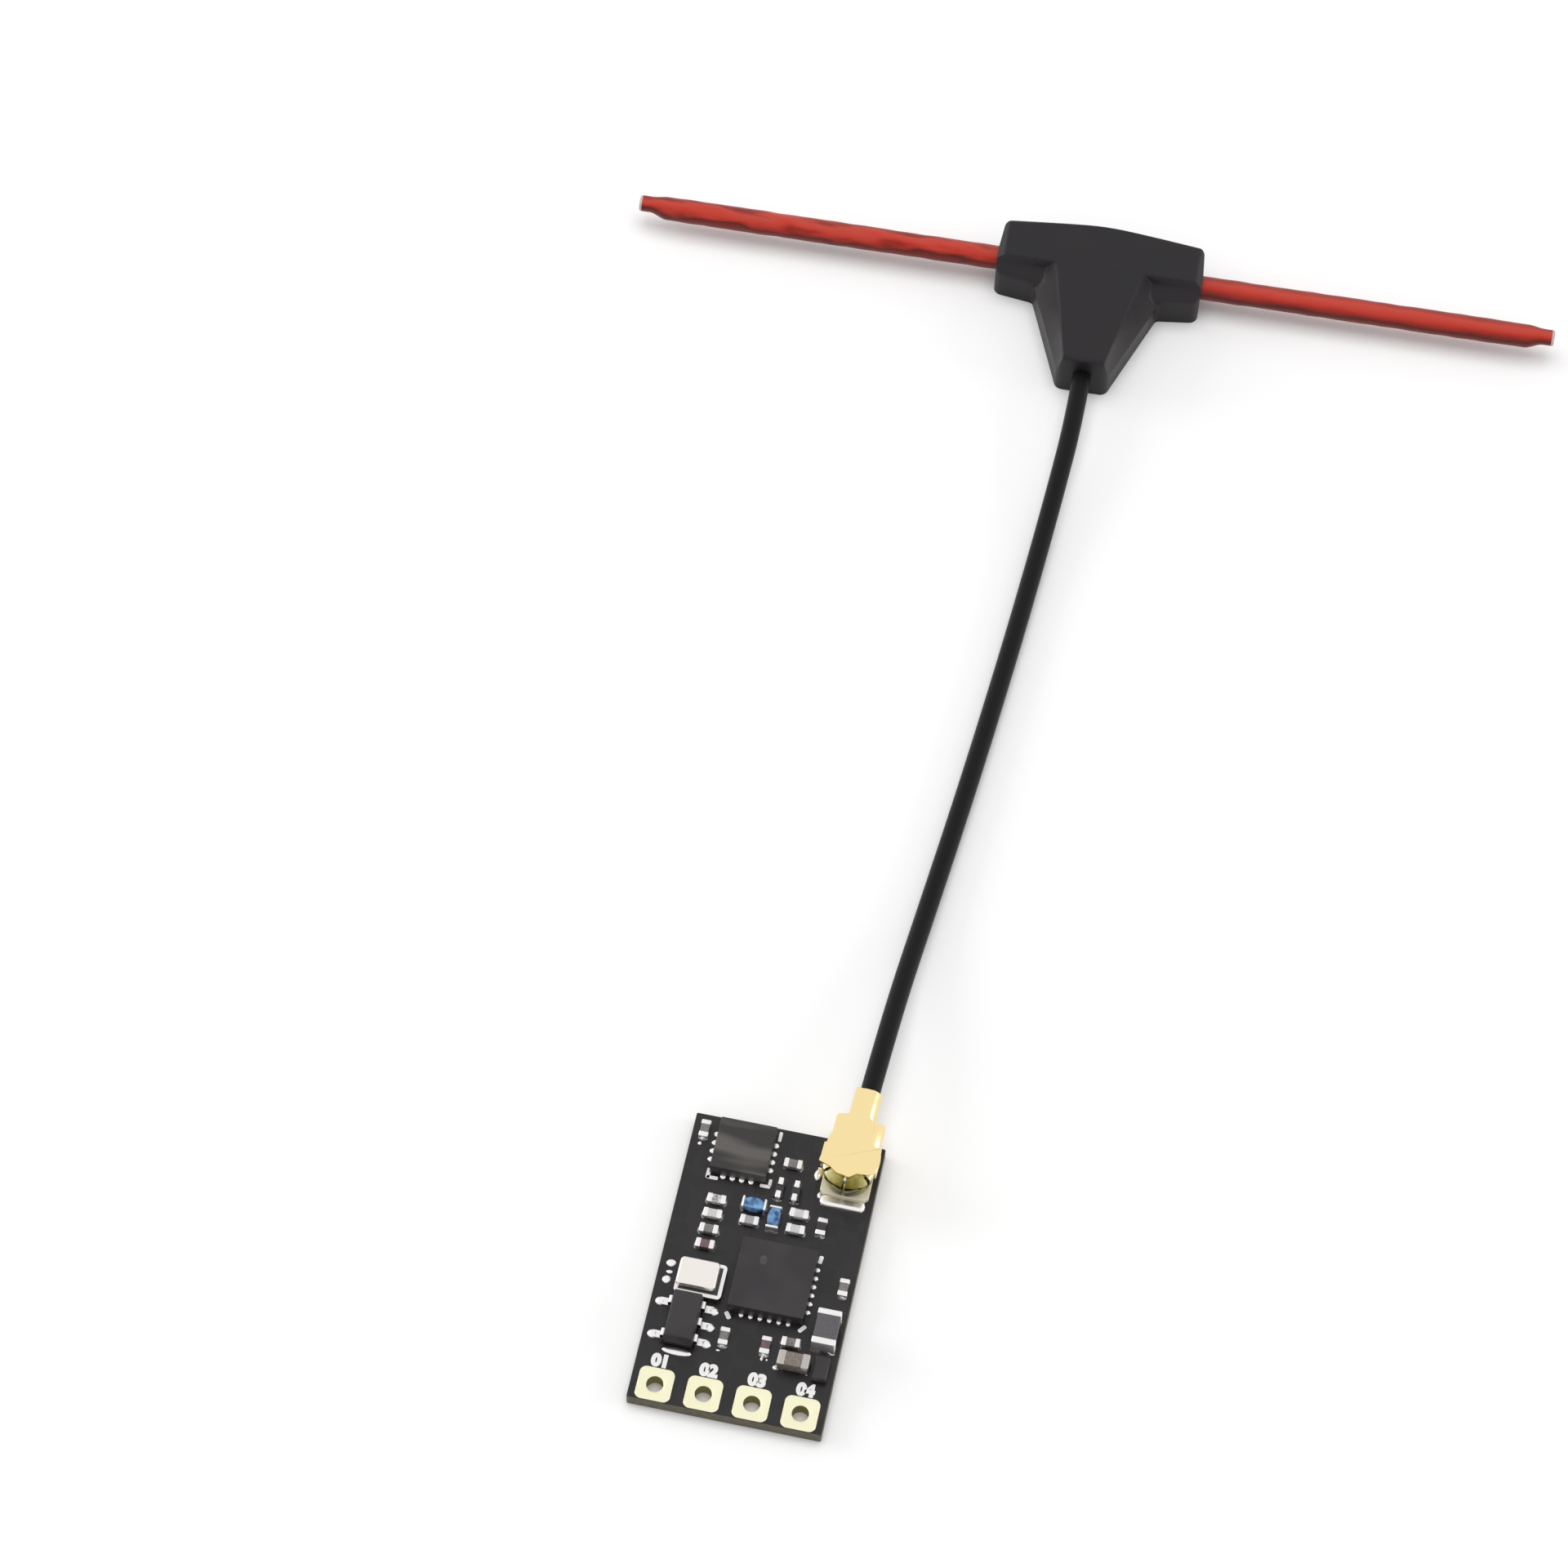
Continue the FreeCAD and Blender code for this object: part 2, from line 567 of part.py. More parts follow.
def make_diode():
    """A protection diode: a drafted moulding with a flat tab at each end."""
    made = body("protection_diode", BOARD_TOP, s.diode_x, s.diode_y, 0, 90)
    plan = sketch(made, "XY_Plane", "diode_plan")
    pad(made, centred(plan, "diode_length", "diode_width"), "diode_height",
        taper="-diode_draft")
    tabs = centred(sketch(made, "XY_Plane", "diode_tabs"), "diode_length+2*diode_tab",
                   "diode_tab_wide")
    pad(made, tabs, "diode_tab_thick")
    keep(made, "protection_diode")


def make_socket():
    """The coaxial socket: a ring shell with two tabs, a pin with one, moulded in a base."""
    shell = body("socket_shell", SOCKET)
    ring = sketch(shell, "XY_Plane", "socket_ring_plan", "socket_float")
    circle(circle(ring, "0", "0", "socket_ring"), "0", "0", "socket_ring-2*socket_wall")
    pad(shell, ring, "socket_height-socket_float")
    inner = "sqrt((socket_ring/2-socket_wall)^2-tab_wide^2/16)"
    for name, low, high in (("back", inner, "socket_side/2+tab_reach"),
                            ("front", "-socket_side/2-tab_reach", "-" + inner)):
        foot = sketch(shell, "XY_Plane", "socket_tab_" + name)
        pad(shell, rectangle(foot, "-tab_wide/2", low, "tab_wide/2", high), "tab_thick")
        riser_low, riser_high = (low, "socket_ring/2") if name == "back" else (
            "-socket_ring/2", high)
        riser = sketch(shell, "XY_Plane", "socket_riser_" + name)
        pad(shell, rectangle(riser, "-tab_wide/4", riser_low, "tab_wide/4", riser_high),
            "socket_float+tab_thick")
    keep(shell, "socket_shell")
    post = rod("socket_post", SOCKET, "pin_across", "pin_tall-pin_lead_in", 0, 0, 0,
               Rotation())
    dome = doc.addObject("Part::Cone", "socket_pin_end")
    bind(dome, Radius1="pin_across/2", Radius2="pin_across/4", Height="pin_lead_in")
    put(dome, SOCKET, 0, 0, s.pin_tall - s.pin_lead_in)
    tail = block("socket_tail", SOCKET, "-socket_side/2-pin_tab_reach", "0",
                 "-pin_tab_wide/2", "pin_tab_wide/2", "0", "socket_float/2")
    pin = keep(joined("socket_pin", [post, dome, tail]), "socket_pin")
    mould = body("socket_mould", SOCKET)
    plan = centred(sketch(mould, "XY_Plane", "socket_plan"), "socket_side", "socket_side")
    pad(mould, plan, "socket_base")
    dress(mould, "Chamfer", "socket_chamfer", upright)
    keep(cut("socket_base", mould, group("socket_metal", [shell, pin])), "socket_base")


def make_plug():
    """The push-on plug: stamped cover, slotted skirt and crimp, with contact and insulator."""
    plug_top = "plug_cover+plug_sheet"
    shell = body("plug_stamping", PLUG)
    front = [("-plug_tongue", "plug_tongue_front"), ("plug_tongue", "plug_tongue_front"),
             ("plug_skirt/2", "plug_ear_front-plug_slot_wide"), ("plug_ear", "plug_ear_front")]
    back = [("plug_ear", "plug_ear_back"), ("plug_neck", "plug_ear_back"),
            ("plug_neck", "plug_neck_back"), ("plug_crimp/2", "plug_neck_back"),
            ("plug_crimp/2", "plug_mouth")]
    mirrored = [("-" + x, y) for x, y in reversed(front[2:] + back)]
    cover = outline(sketch(shell, "XY_Plane", "cover_plan", "plug_cover"),
                    front + back + mirrored, {0: ("plug_tongue", "plug_tongue*0.16")})
    pad(shell, cover, "plug_sheet")
    skirt = sketch(shell, "XY_Plane", "skirt_plan", "plug_low")
    circle(circle(skirt, "0", "0", "plug_skirt"), "0", "0", "socket_ring+2*plug_snap")
    pad(shell, skirt, "plug_cover-plug_low")
    slot = rectangle(sketch(shell, "XZ_Plane", "skirt_slot"), "-plug_slot_wide/2", "0",
                     "plug_slot_wide/2", "plug_low+plug_slot_tall")
    ring_of(shell, pocket(shell, slot, "plug_skirt"), "plug_slots")
    for side, name in (("", "right"), ("-", "left")):
        wing = sketch(shell, "XY_Plane", "wing_" + name, "plug_cover")
        inner, outer = side + "(plug_ear-plug_wing_thick)", side + "plug_ear"
        ends = (inner, outer) if not side else (outer, inner)
        rectangle(wing, ends[0], "plug_ear_front", ends[1], "plug_wing_back")
        pad(shell, wing, "plug_wing_deep", down=True)
        wall = sketch(shell, "XY_Plane", "wall_" + name, "plug_cover")
        inner, outer = side + "(plug_neck-plug_wing_thick)", side + "plug_neck"
        ends = (inner, outer) if not side else (outer, inner)
        rectangle(wall, ends[0], "plug_ear_back", ends[1], "plug_neck_back")
        pad(shell, wall, "plug_wall_deep", down=True)
    crimp = sketch(shell, "XZ_Plane", "crimp_ring", "-plug_neck_back")
    circle(crimp, "0", "plug_axis", "plug_crimp")
    pad(shell, crimp, "plug_mouth-plug_neck_back", down=True)
    crown = rectangle(sketch(shell, "XY_Plane", "crimp_crown", plug_top), "-plug_crimp",
                      "plug_neck_back-plug_sheet", "plug_crimp", "plug_mouth+plug_sheet")
    pocket(shell, crown, "plug_sheet", up=True)
    jacket = sketch(shell, "XZ_Plane", "jacket_bore", "-plug_mouth")
    pocket(shell, circle(jacket, "0", "plug_axis", "lead_across+2*lead_gap"), "lead_grip",
           up=True)
    braid = sketch(shell, "XZ_Plane", "braid_bore", "-plug_mouth")
    pocket(shell, circle(braid, "0", "plug_axis", "braid_across"),
           "plug_mouth-plug_neck_back", up=True)
    seam = rectangle(sketch(shell, "XZ_Plane", "crimp_seam", "-plug_mouth"),
                     "-plug_seam/2", "plug_axis-plug_crimp", "plug_seam/2", "plug_axis")
    pocket(shell, seam, "plug_mouth-plug_neck_back", up=True)

    tail_low = "plug_axis+wire_across/2"
    collar = body("contact_collar", PLUG)
    tube = sketch(collar, "XY_Plane", "contact_tube", "contact_low")
    circle(circle(tube, "0", "0", "contact_across"), "0", "0", "pin_across+2*contact_fit")
    pad(collar, tube, "%s-contact_low" % tail_low)
    split = rectangle(sketch(collar, "XZ_Plane", "contact_split"), "-contact_sheet/2",
                      "0", "contact_sheet/2", "pin_tall")
    pocket(collar, split, "contact_across", middle=True)
    roof = sketch(collar, "XY_Plane", "contact_roof", tail_low)
    pad(collar, circle(roof, "0", "0", "contact_across"), "contact_sheet")
    tail = rectangle(sketch(collar, "XY_Plane", "contact_tail_plan", tail_low),
                     "-contact_tail/2", "0", "contact_tail/2", "contact_end")
    pad(collar, tail, "contact_sheet")
    contact = keep(collar, "plug_contact")

    disc = rod("insulator_disc", PLUG, "socket_ring+2*plug_snap", "plug_cover-(%s)" % tail_low,
               0, 0, number(tail_low), Rotation())
    boss = rod("insulator_boss_rod", PLUG, "insulator_boss",
               "(%s)-insulator_low" % tail_low, 0, 0, s.insulator_low, Rotation())
    tongue = block("insulator_tongue", PLUG, "-insulator_half", "insulator_half", "0",
                   "insulator_end", tail_low, "plug_cover")
    filling = joined("insulator_filling", [disc, boss, tongue])
    keep(cut("plug_shell", shell, filling), "plug_shell")
    room = rod("contact_room", PLUG, "pin_across+2*contact_fit",
               "(%s)-insulator_low" % tail_low, 0, 0, s.insulator_low, Rotation())
    keep(cut("plug_insulator", filling, group("contact_and_room", [contact, room])),
         "plug_insulator")


def make_lead_ends():
    """The stripped ends of the lead: braid, core and wire, in the plug and in the antenna."""
    for place, frame, height, stations in (
            ("plug", PLUG, s.plug_axis,
             ("plug_mouth-lead_grip", "plug_neck_back", "core_end", "wire_end")),
            ("antenna", ANTENNA, s.housing_height / 2,
             ("stem_end+lead_socket", "braid_stop", "core_stop", "wire_stop"))):
        for i, (layer, across) in enumerate((("braid", "braid_across"),
                                             ("core", "core_across"),
                                             ("wire", "wire_across"))):
            low, high = sorted((number(stations[i]), number(stations[i + 1])))
            ends = (stations[i], stations[i + 1])
            if number(ends[0]) > number(ends[1]):
                ends = ends[::-1]
            made = rod("%s_%s_end" % (place, layer), frame, across,
                       "(%s)-(%s)" % (ends[1], ends[0]), 0, low, height, ALONG_Y)
            keep(made, "%s_%s" % (place, layer))


def rounded_path(points):
    """Straight runs through points, each corner an arc as large as its shorter run allows."""
    edges = []
    here = points[0]
    for before, corner, after in zip(points, points[1:], points[2:]):
        into = (corner - before).normalize()
        onward = (after - corner).normalize()
        short = min((corner - before).Length, (after - corner).Length)
        half_turn = into.getAngle(onward) / 2
        radius = 0.45 * short / math.tan(half_turn)
        start = corner - into * (0.45 * short)
        end = corner + onward * (0.45 * short)
        inward = (onward - into).normalize()
        middle = corner + inward * (radius / math.cos(half_turn) - radius)
        edges.append(Part.LineSegment(here, start).toShape())
        edges.append(Part.Arc(start, middle, end).toShape())
        print("bend radius %.1f mm after a run of %.1f mm" % (radius, (corner - before).Length))
        here = end
    edges.append(Part.LineSegment(here, points[-1]).toShape())
    return Part.Wire(edges)


def make_lead():
    """The coaxial lead, from inside the plug's crimp to inside the antenna's stem."""
    start = PLUG.multVec(Vector(0, s.plug_mouth - s.lead_grip, s.plug_axis))
    away = PLUG.Rotation.multVec(Vector(0, LEAD_FIRST_RUN, 0))
    end = ANTENNA.multVec(Vector(0, s.stem_end + s.lead_socket, s.housing_height / 2))
    back = ANTENNA.Rotation.multVec(Vector(0, -LEAD_LAST_RUN, 0))
    route = [Vector(*point) for point in LEAD_ROUTE]
    path = rounded_path([start, start + away] + route + [end + back, end])
    section = Part.Wire([Part.Circle(start, away, s.lead_across / 2).toShape()])
    made = doc.addObject("Part::Feature", "coaxial_lead")
    made.Shape = path.makePipeShell([section], True, False)
    swept = math.pi * s.lead_across ** 2 / 4 * path.Length
    print("lead: %.2f mm long, volume %.3f, section times length %.3f"
          % (path.Length, made.Shape.Volume, swept))
    keep(made, "coaxial_lead")


def make_arms():
    """The dipole's two arms: a straight element in a shrunk sleeve that tapers past it."""
    for side, name, far in ((0, "right", "sleeve_right"), (180, "left", "sleeve_left")):
        length = "(%s-bar_half+sleeve_grip)" % far
        start = s.bar_half - s.sleeve_grip
        sign = 1 if side == 0 else -1
        sleeve = body("sleeve_" + name, ANTENNA, sign * start, 0, s.housing_height / 2, side)
        neck = "%s-sleeve_neck_long" % length
        profile = [("0", "element_across/2"), (neck + "-sleeve_taper", "element_across/2"),
                   (neck, "sleeve_neck_bore/2"), (length, "sleeve_neck_bore/2"),
                   (length, "sleeve_neck/2"), (neck + "-sleeve_taper", "sleeve_across/2"),
                   ("0", "sleeve_across/2")]
        drawn = outline(sketch(sleeve, "XY_Plane", "sleeve_profile_" + name), profile)
        turned = sleeve.newObject("PartDesign::Revolution", "sleeve_turned_" + name)
        turned.Profile = drawn
        turned.ReferenceAxis = axis(sleeve, "X_Axis")
        turned.Angle = 360
        keep(sleeve, "sleeve_" + name)
        element = rod("element_" + name, ANTENNA, "element_across",
                      "%s-sleeve_neck_long-sleeve_taper-element_gap" % far,
                      sign * s.element_gap, 0, s.housing_height / 2,
                      ALONG_X if side == 0 else AGAINST_X)
        keep(element, "element_" + name)


def make_joints():
    """The two soldered joints that tie the lead's wire and braid to the elements."""
    taken = group("joint_neighbours", [
        doc.getObject(name) for name in ("element_right", "element_left", "antenna_wire_end",
                                         "antenna_core_end", "antenna_braid_end")])
    for name, x, y in (("right", s.element_gap * 0.7, 0.0),
                       ("left", -s.element_gap, s.braid_stop + s.joint_across / 2)):
        drop = rod("joint_drop_" + name, ANTENNA, "joint_across", "joint_across", x, y,
                   (s.housing_height - s.joint_across) / 2, Rotation())
        keep(cut("joint_" + name, drop, taken), "joint_" + name)


def make_housing():
    """The antenna's moulded T: crowned bar, stepped shoulders and a stem with bevelled sides."""
    mould = body("housing_mould", ANTENNA)
    back_half = "(bar_half-bar_lean)"
    back = [(back_half, "bar_back"), ("-" + back_half, "bar_back"), ("-bar_half", "0")]
    low = back + [("-bar_half", "ledge_front"), ("-stem_half", "ledge_front-ledge_slope"),
                  ("stem_half", "ledge_front-ledge_slope"), ("bar_half", "ledge_front"),
                  ("bar_half", "0")]
    crown = {0: (back_half, "bar_crown")}
    pad(mould, outline(sketch(mould, "XY_Plane", "lower_plan"), low, crown), "ledge_height")
    dress(mould, "Fillet", "corner_front",
          lambda e: upright(e) and abs(abs(e.BoundBox.XMin) - s.bar_half) < 1e-6
          and e.BoundBox.YMin < s.ledge_front + 1e-6)
    dress(mould, "Chamfer", "ledge_bevel",
          lambda e: level_at(e, s.ledge_height)
          and e.BoundBox.YMax < s.ledge_front + s.corner_front + 1e-6)
    top = back + [("-bar_half", "bar_front"), ("bar_half", "bar_front"), ("bar_half", "0")]
    pad(mould, outline(sketch(mould, "XY_Plane", "upper_plan"), top, crown),
        "housing_height")
    dress(mould, "Chamfer", "end_bevel",
          lambda e: level_at(e, s.housing_height)
          and abs(e.CenterOfMass.x) > s.bar_half - s.bar_lean)
    dress(mould, "Fillet", "corner_back",
          lambda e: upright(e) and e.BoundBox.YMin > s.bar_back - 1e-6)
    stem = mould.newObject("PartDesign::AdditiveLoft", "stem_loft")
    sections = []
    for name, y, foot, shelf in (("stem_root", "stem_start", "stem_half", "stem_top_half"),
                                 ("stem_tip", "stem_end", "stem_end_half",
                                  "stem_end_top_half")):
        drawn = sketch(mould, "XZ_Plane", name, "-(%s)" % y)
        outline(drawn, [("-%s" % foot, "0"), (foot, "0"),
                        ("%s-stem_wall_lean" % foot, "stem_wall_high"),
                        (shelf, "housing_height"), ("-%s" % shelf, "housing_height"),
                        ("-(%s-stem_wall_lean)" % foot, "stem_wall_high")])
        sections.append(drawn)
    stem.Profile = sections[0]
    stem.Sections = sections[1:]
    stem.Ruled = True
    doc.recompute()
    dress(mould, "Fillet", "corner_stem",
          lambda e: e.BoundBox.YMax < s.stem_end + 1e-6 and e.BoundBox.ZMin < 1e-6
          and e.BoundBox.ZLength > s.housing_height - s.stem_wall_high - 1e-6)
    inner = [doc.getObject(name) for name in (
        "sleeve_right", "sleeve_left", "element_right", "element_left", "antenna_braid_end",
        "antenna_core_end", "antenna_wire_end", "joint_right", "joint_left")]
    entry = rod("lead_entry", ANTENNA, "lead_across+2*lead_gap", "lead_socket", 0, s.stem_end,
                s.housing_height / 2, ALONG_Y)
    keep(cut("antenna_housing", mould, joined("housing_core", inner + [entry])),
         "antenna_housing")


def check_and_export():
    """Stop on any failed object or bad solid, then write one file for each sub-part."""
    doc.recompute()
    failed = [o.Name for o in doc.Objects if "Invalid" in o.State or "Error" in o.State]
    if failed:
        raise RuntimeError("failed objects: " + ", ".join(failed))
    os.makedirs("parts", exist_ok=True)
    for thing in subparts:
        shape = thing.Shape
        if shape.isNull() or not shape.isValid() or shape.Volume <= 0:
            raise RuntimeError("bad shape: " + thing.Label)
        shape.exportStep("parts/%s.step" % thing.Label)
    print("%d sub-parts" % len(subparts))


make_board()
make_pads()
make_crystal()
make_square_chip("transceiver")
make_square_chip("amplifier")
make_regulator()
make_chips()
make_diode()
make_beads()
make_socket()
make_plug()
make_lead_ends()
make_lead()
make_arms()
make_joints()
make_housing()
check_and_export()
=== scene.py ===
# %% [markdown]
# # A miniature radio receiver
# A thumbnail-sized circuit board listens on 2.4 GHz through a T-shaped antenna on a thin
# coaxial lead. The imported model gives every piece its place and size. Here each piece gets
# the skin and the finish that the eye expects, worked out as surfaces over two parameters.

import math

import bmesh
import bpy
import numpy as np
from mathutils import Matrix, Vector


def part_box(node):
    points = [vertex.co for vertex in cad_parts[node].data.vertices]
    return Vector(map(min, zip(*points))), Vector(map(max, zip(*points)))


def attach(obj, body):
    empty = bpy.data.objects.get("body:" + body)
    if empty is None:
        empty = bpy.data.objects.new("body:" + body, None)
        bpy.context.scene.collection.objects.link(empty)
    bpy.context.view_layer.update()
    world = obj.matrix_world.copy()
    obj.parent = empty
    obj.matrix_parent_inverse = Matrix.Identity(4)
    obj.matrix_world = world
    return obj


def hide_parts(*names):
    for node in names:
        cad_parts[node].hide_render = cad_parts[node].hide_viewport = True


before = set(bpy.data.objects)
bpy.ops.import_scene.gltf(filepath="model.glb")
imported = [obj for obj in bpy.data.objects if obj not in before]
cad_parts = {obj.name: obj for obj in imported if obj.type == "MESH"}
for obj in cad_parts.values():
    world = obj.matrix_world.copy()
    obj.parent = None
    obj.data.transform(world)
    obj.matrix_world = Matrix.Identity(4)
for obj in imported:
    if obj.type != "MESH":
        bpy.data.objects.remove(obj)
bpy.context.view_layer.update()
MM = 0.001
print("CAD nodes:", len(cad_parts))

# %% [markdown]
# ## Reading places from the frame
# Sizes come from the node's own box, so a piece can't drift from what carries it. Three
# groups lie at their own angles: the board is square to the axes, the plug is turned on its
# socket by a few degrees, and the antenna lies turned the other way.

# %% Boxes and local frames, in millimetres
ANTENNA_PLACE, ANTENNA_TURN = (6.05, 67.66), 2.2
PLUG_TURN = -2.5
BOARD_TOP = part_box("circuit_board")[1].z / MM


def box_mm(node):
    """A node's lowest and highest corners in millimetres."""
    low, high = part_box(node)
    return np.array(low) / MM, np.array(high) / MM


def turned_to(points, place, degrees, height=0.0):
    """Turn points about Z and move them: x' = x cos a - y sin a, y' = x sin a + y cos a."""
    turn = math.radians(degrees)
    spin = np.array([[math.cos(turn), math.sin(turn), 0], [-math.sin(turn), math.cos(turn), 0],
                     [0, 0, 1]])
    return np.asarray(points) @ spin + np.array([place[0], place[1], height])


def to_antenna(points):
    """From the antenna's frame, U along its bar and W towards +Y, to the row frame."""
    return turned_to(points, ANTENNA_PLACE, ANTENNA_TURN)


socket_low, socket_high = box_mm("socket_base")
SOCKET_PLACE = (socket_low[:2] + socket_high[:2]) / 2


def to_plug(points):
    """From the plug's frame, V along its lead and heights above the board, to the row frame."""
    return turned_to(points, SOCKET_PLACE, PLUG_TURN, BOARD_TOP)


# %% [markdown]
# ## Finishes
# A finish starts from what the real surface is: solder mask, plated gold, moulded epoxy,
# fired ceramic, shrunk tube. Colours are written as sRGB hex, as a paint card would, and one
# function turns them to the linear values that a shader works in.

# %% Colour
def linear(code):
    """An sRGB hex colour as linear RGBA: c / 12.92 when dark, else ((c + 0.055) / 1.055) ^ 2.4."""
    value = np.array([int(code[i:i + 2], 16) for i in (1, 3, 5)]) / 255
    value = np.where(value <= 0.04045, value / 12.92, ((value + 0.055) / 1.055) ** 2.4)
    return (*value.tolist(), 1.0)


print("sRGB #808080 in linear light:", round(linear("#808080")[0], 3))

# %% [markdown]
# A material is a small tree of nodes. One function adds a node with its settings and links,
# so that a finish reads from top to bottom like a recipe. Every finish here has a single
# surface, and its patterns follow the object's own coordinates, which stay put in any light.

# %% Nodes and the start of a finish
def add(tree, kind, inputs=None, stops=(), **settings):
    """Add a node with its settings, give each input a value or a link, and set the stops of
    a colour ramp, each a position and a hex colour."""
    node = tree.nodes.new(kind)
    for key, value in settings.items():
        setattr(node, key, value)
    for key, value in (inputs or {}).items():
        if isinstance(value, bpy.types.NodeSocket):
            tree.links.new(value, node.inputs[key])
        else:
            node.inputs[key].default_value = value
    for number, (position, code) in enumerate(stops):
        band = node.color_ramp.elements
        stop = band[number] if number < 2 else band.new(position)
        stop.position, stop.color = position, linear(code)
    return node


def finish(name, colour, roughness, **sockets):
    """A named material with one Principled surface, and the tree to build on."""
    made = bpy.data.materials.new(name)
    made.use_nodes = True
    tree = made.node_tree
    tree.nodes.clear()
    surface = add(tree, "ShaderNodeBsdfPrincipled", {"Base Color": linear(colour),
                                                     "Roughness": roughness, **sockets})
    output = add(tree, "ShaderNodeOutputMaterial")
    tree.links.new(surface.outputs[0], output.inputs[0])
    made.diffuse_color = linear(colour)
    place = add(tree, "ShaderNodeTexCoord").outputs["Object"]
    return made, tree, surface, place


# %% [markdown]
# No real surface is one flat value. Grain, flow marks and handling change its colour, its
# height and its gloss a little, and at this size those changes are all that tells epoxy from
# lacquer. Three short functions give them, with every lump's size in millimetres.

# %% Grain, tone and gloss
def speckle(tree, place, size_mm, detail=2.0, stretch=(1, 1, 1)):
    """Noise whose lumps are about size_mm across, stretched along the axes."""
    scale = [1 / (MM * size_mm * s) for s in stretch]
    mapped = add(tree, "ShaderNodeMapping", {"Vector": place, "Scale": scale})
    return add(tree, "ShaderNodeTexNoise", {"Vector": mapped.outputs[0], "Scale": 1.0,
                                            "Detail": detail}).outputs["Fac"]


def tinted(tree, surface, factor, *stops):
    """Let a factor choose the surface's colour between stops of position and hex colour."""
    tone = add(tree, "ShaderNodeValToRGB", {"Fac": factor}, stops)
    tree.links.new(tone.outputs["Color"], surface.inputs["Base Color"])


def grained(made, tree, surface, place, size_mm, height_mm, roughness_span=None):
    """Give a surface a fine bump, and roughness that wanders between two values with it."""
    grain = speckle(tree, place, size_mm)
    bump = add(tree, "ShaderNodeBump", {"Height": grain, "Strength": 0.6,
                                        "Distance": height_mm * MM})
    tree.links.new(bump.outputs[0], surface.inputs["Normal"])
    if roughness_span:
        spread = add(tree, "ShaderNodeMapRange", {"Value": speckle(tree, place, size_mm * 9),
                                                  "To Min": roughness_span[0],
                                                  "To Max": roughness_span[1]})
        tree.links.new(spread.outputs[0], surface.inputs["Roughness"])
    return made


# %% [markdown]
# The dark plastics differ only in how they scatter light. Solder mask is a thin wet-laid
# lacquer over copper, so it has a soft gloss and a faint relief where tracks run under it.
# Chip epoxy is full of ground silica and stays dull. The antenna is moulded soft plastic.

# %% Dark finishes
def solder_mask():
    """Black lacquer: copper planes under it lift it by 0.02 mm in blocky patches."""
    made, tree, surface, place = finish("black_solder_mask", "#161316", 0.36, **{
        "Specular IOR Level": 0.46})
    cells = add(tree, "ShaderNodeTexVoronoi", {"Vector": place, "Scale": 1 / (0.9 * MM)},
                distance="CHEBYCHEV")
    planes = add(tree, "ShaderNodeMapRange", {"Value": cells.outputs["Distance"],
                                              "From Min": 0.42, "From Max": 0.5})
    tone = add(tree, "ShaderNodeMix", {"Factor": planes.outputs[0], "A": linear("#141114"),
                                       "B": linear("#1a171a")}, data_type="RGBA")
    tree.links.new(tone.outputs["Result"], surface.inputs["Base Color"])
    bump = add(tree, "ShaderNodeBump", {"Height": planes.outputs[0], "Strength": 0.35,
                                        "Distance": 0.02 * MM})
    tree.links.new(bump.outputs[0], surface.inputs["Normal"])
    return made


def bare_laminate():
    """Routed glass laminate: olive resin with the chopped ends of the cloth's yarns."""
    made, tree, surface, place = finish("routed_glass_laminate", "#57503e", 0.6)
    yarns = speckle(tree, place, 0.35, 3.0, (1, 1, 0.25))
    tinted(tree, surface, yarns, (0.35, "#4a4434"), (0.68, "#6a634e"))
    return grained(made, tree, surface, place, 0.08, 0.01)


def chip_epoxy(name, low, high, stretch=(1, 1, 1)):
    """Transfer-moulded epoxy, filled with silica: matt, with a grain of about 0.06 mm."""
    made, tree, surface, place = finish(name, low, 0.5, **{"Specular IOR Level": 0.4})
    tinted(tree, surface, speckle(tree, place, 2.2, 1.0, stretch), (0.42, low), (0.6, high))
    return grained(made, tree, surface, place, 0.06, 0.004, (0.42, 0.58))


def antenna_plastic():
    """Soft black plastic from an eroded mould: satin, with a grain of about 0.12 mm."""
    made, tree, surface, place = finish("satin_moulded_plastic", "#151114", 0.42, **{
        "Specular IOR Level": 0.34})
    grained(made, tree, surface, place, 0.12, 0.005, (0.4, 0.5))
    tinted(tree, surface, speckle(tree, place, 5.0), (0.35, "#131116"), (0.7, "#1b1417"))
    return made


def lead_jacket():
    """Extruded fluoropolymer jacket: smooth, a little glossy, with faint draw lines."""
    made, tree, surface, place = finish("extruded_black_jacket", "#0c0c0d", 0.3, **{
        "Specular IOR Level": 0.16})
    return grained(made, tree, surface, place, 0.5, 0.004, (0.36, 0.46))


# %% [markdown]
# Metals: the plug and the wire holes are gold over nickel, so thin and bright that they read
# as cream in a white room. Solder and tin are nearly white mirrors with a soft, wavy skin.

# %% Bright finishes
# Centre of the skirt's painted dark reflection, in millimetres.
PAINTED_REFLECTION_SPOT = (3.6, 5.0, 1.8)


def plated_gold(name, colour, roughness):
    """Gold plate on stamped brass: a metal with rolling marks about 0.3 mm apart."""
    made, tree, surface, place = finish(name, colour, roughness, Metallic=1.0)
    return grained(made, tree, surface, place, 0.3, 0.002, (roughness * 0.8, roughness * 1.25))


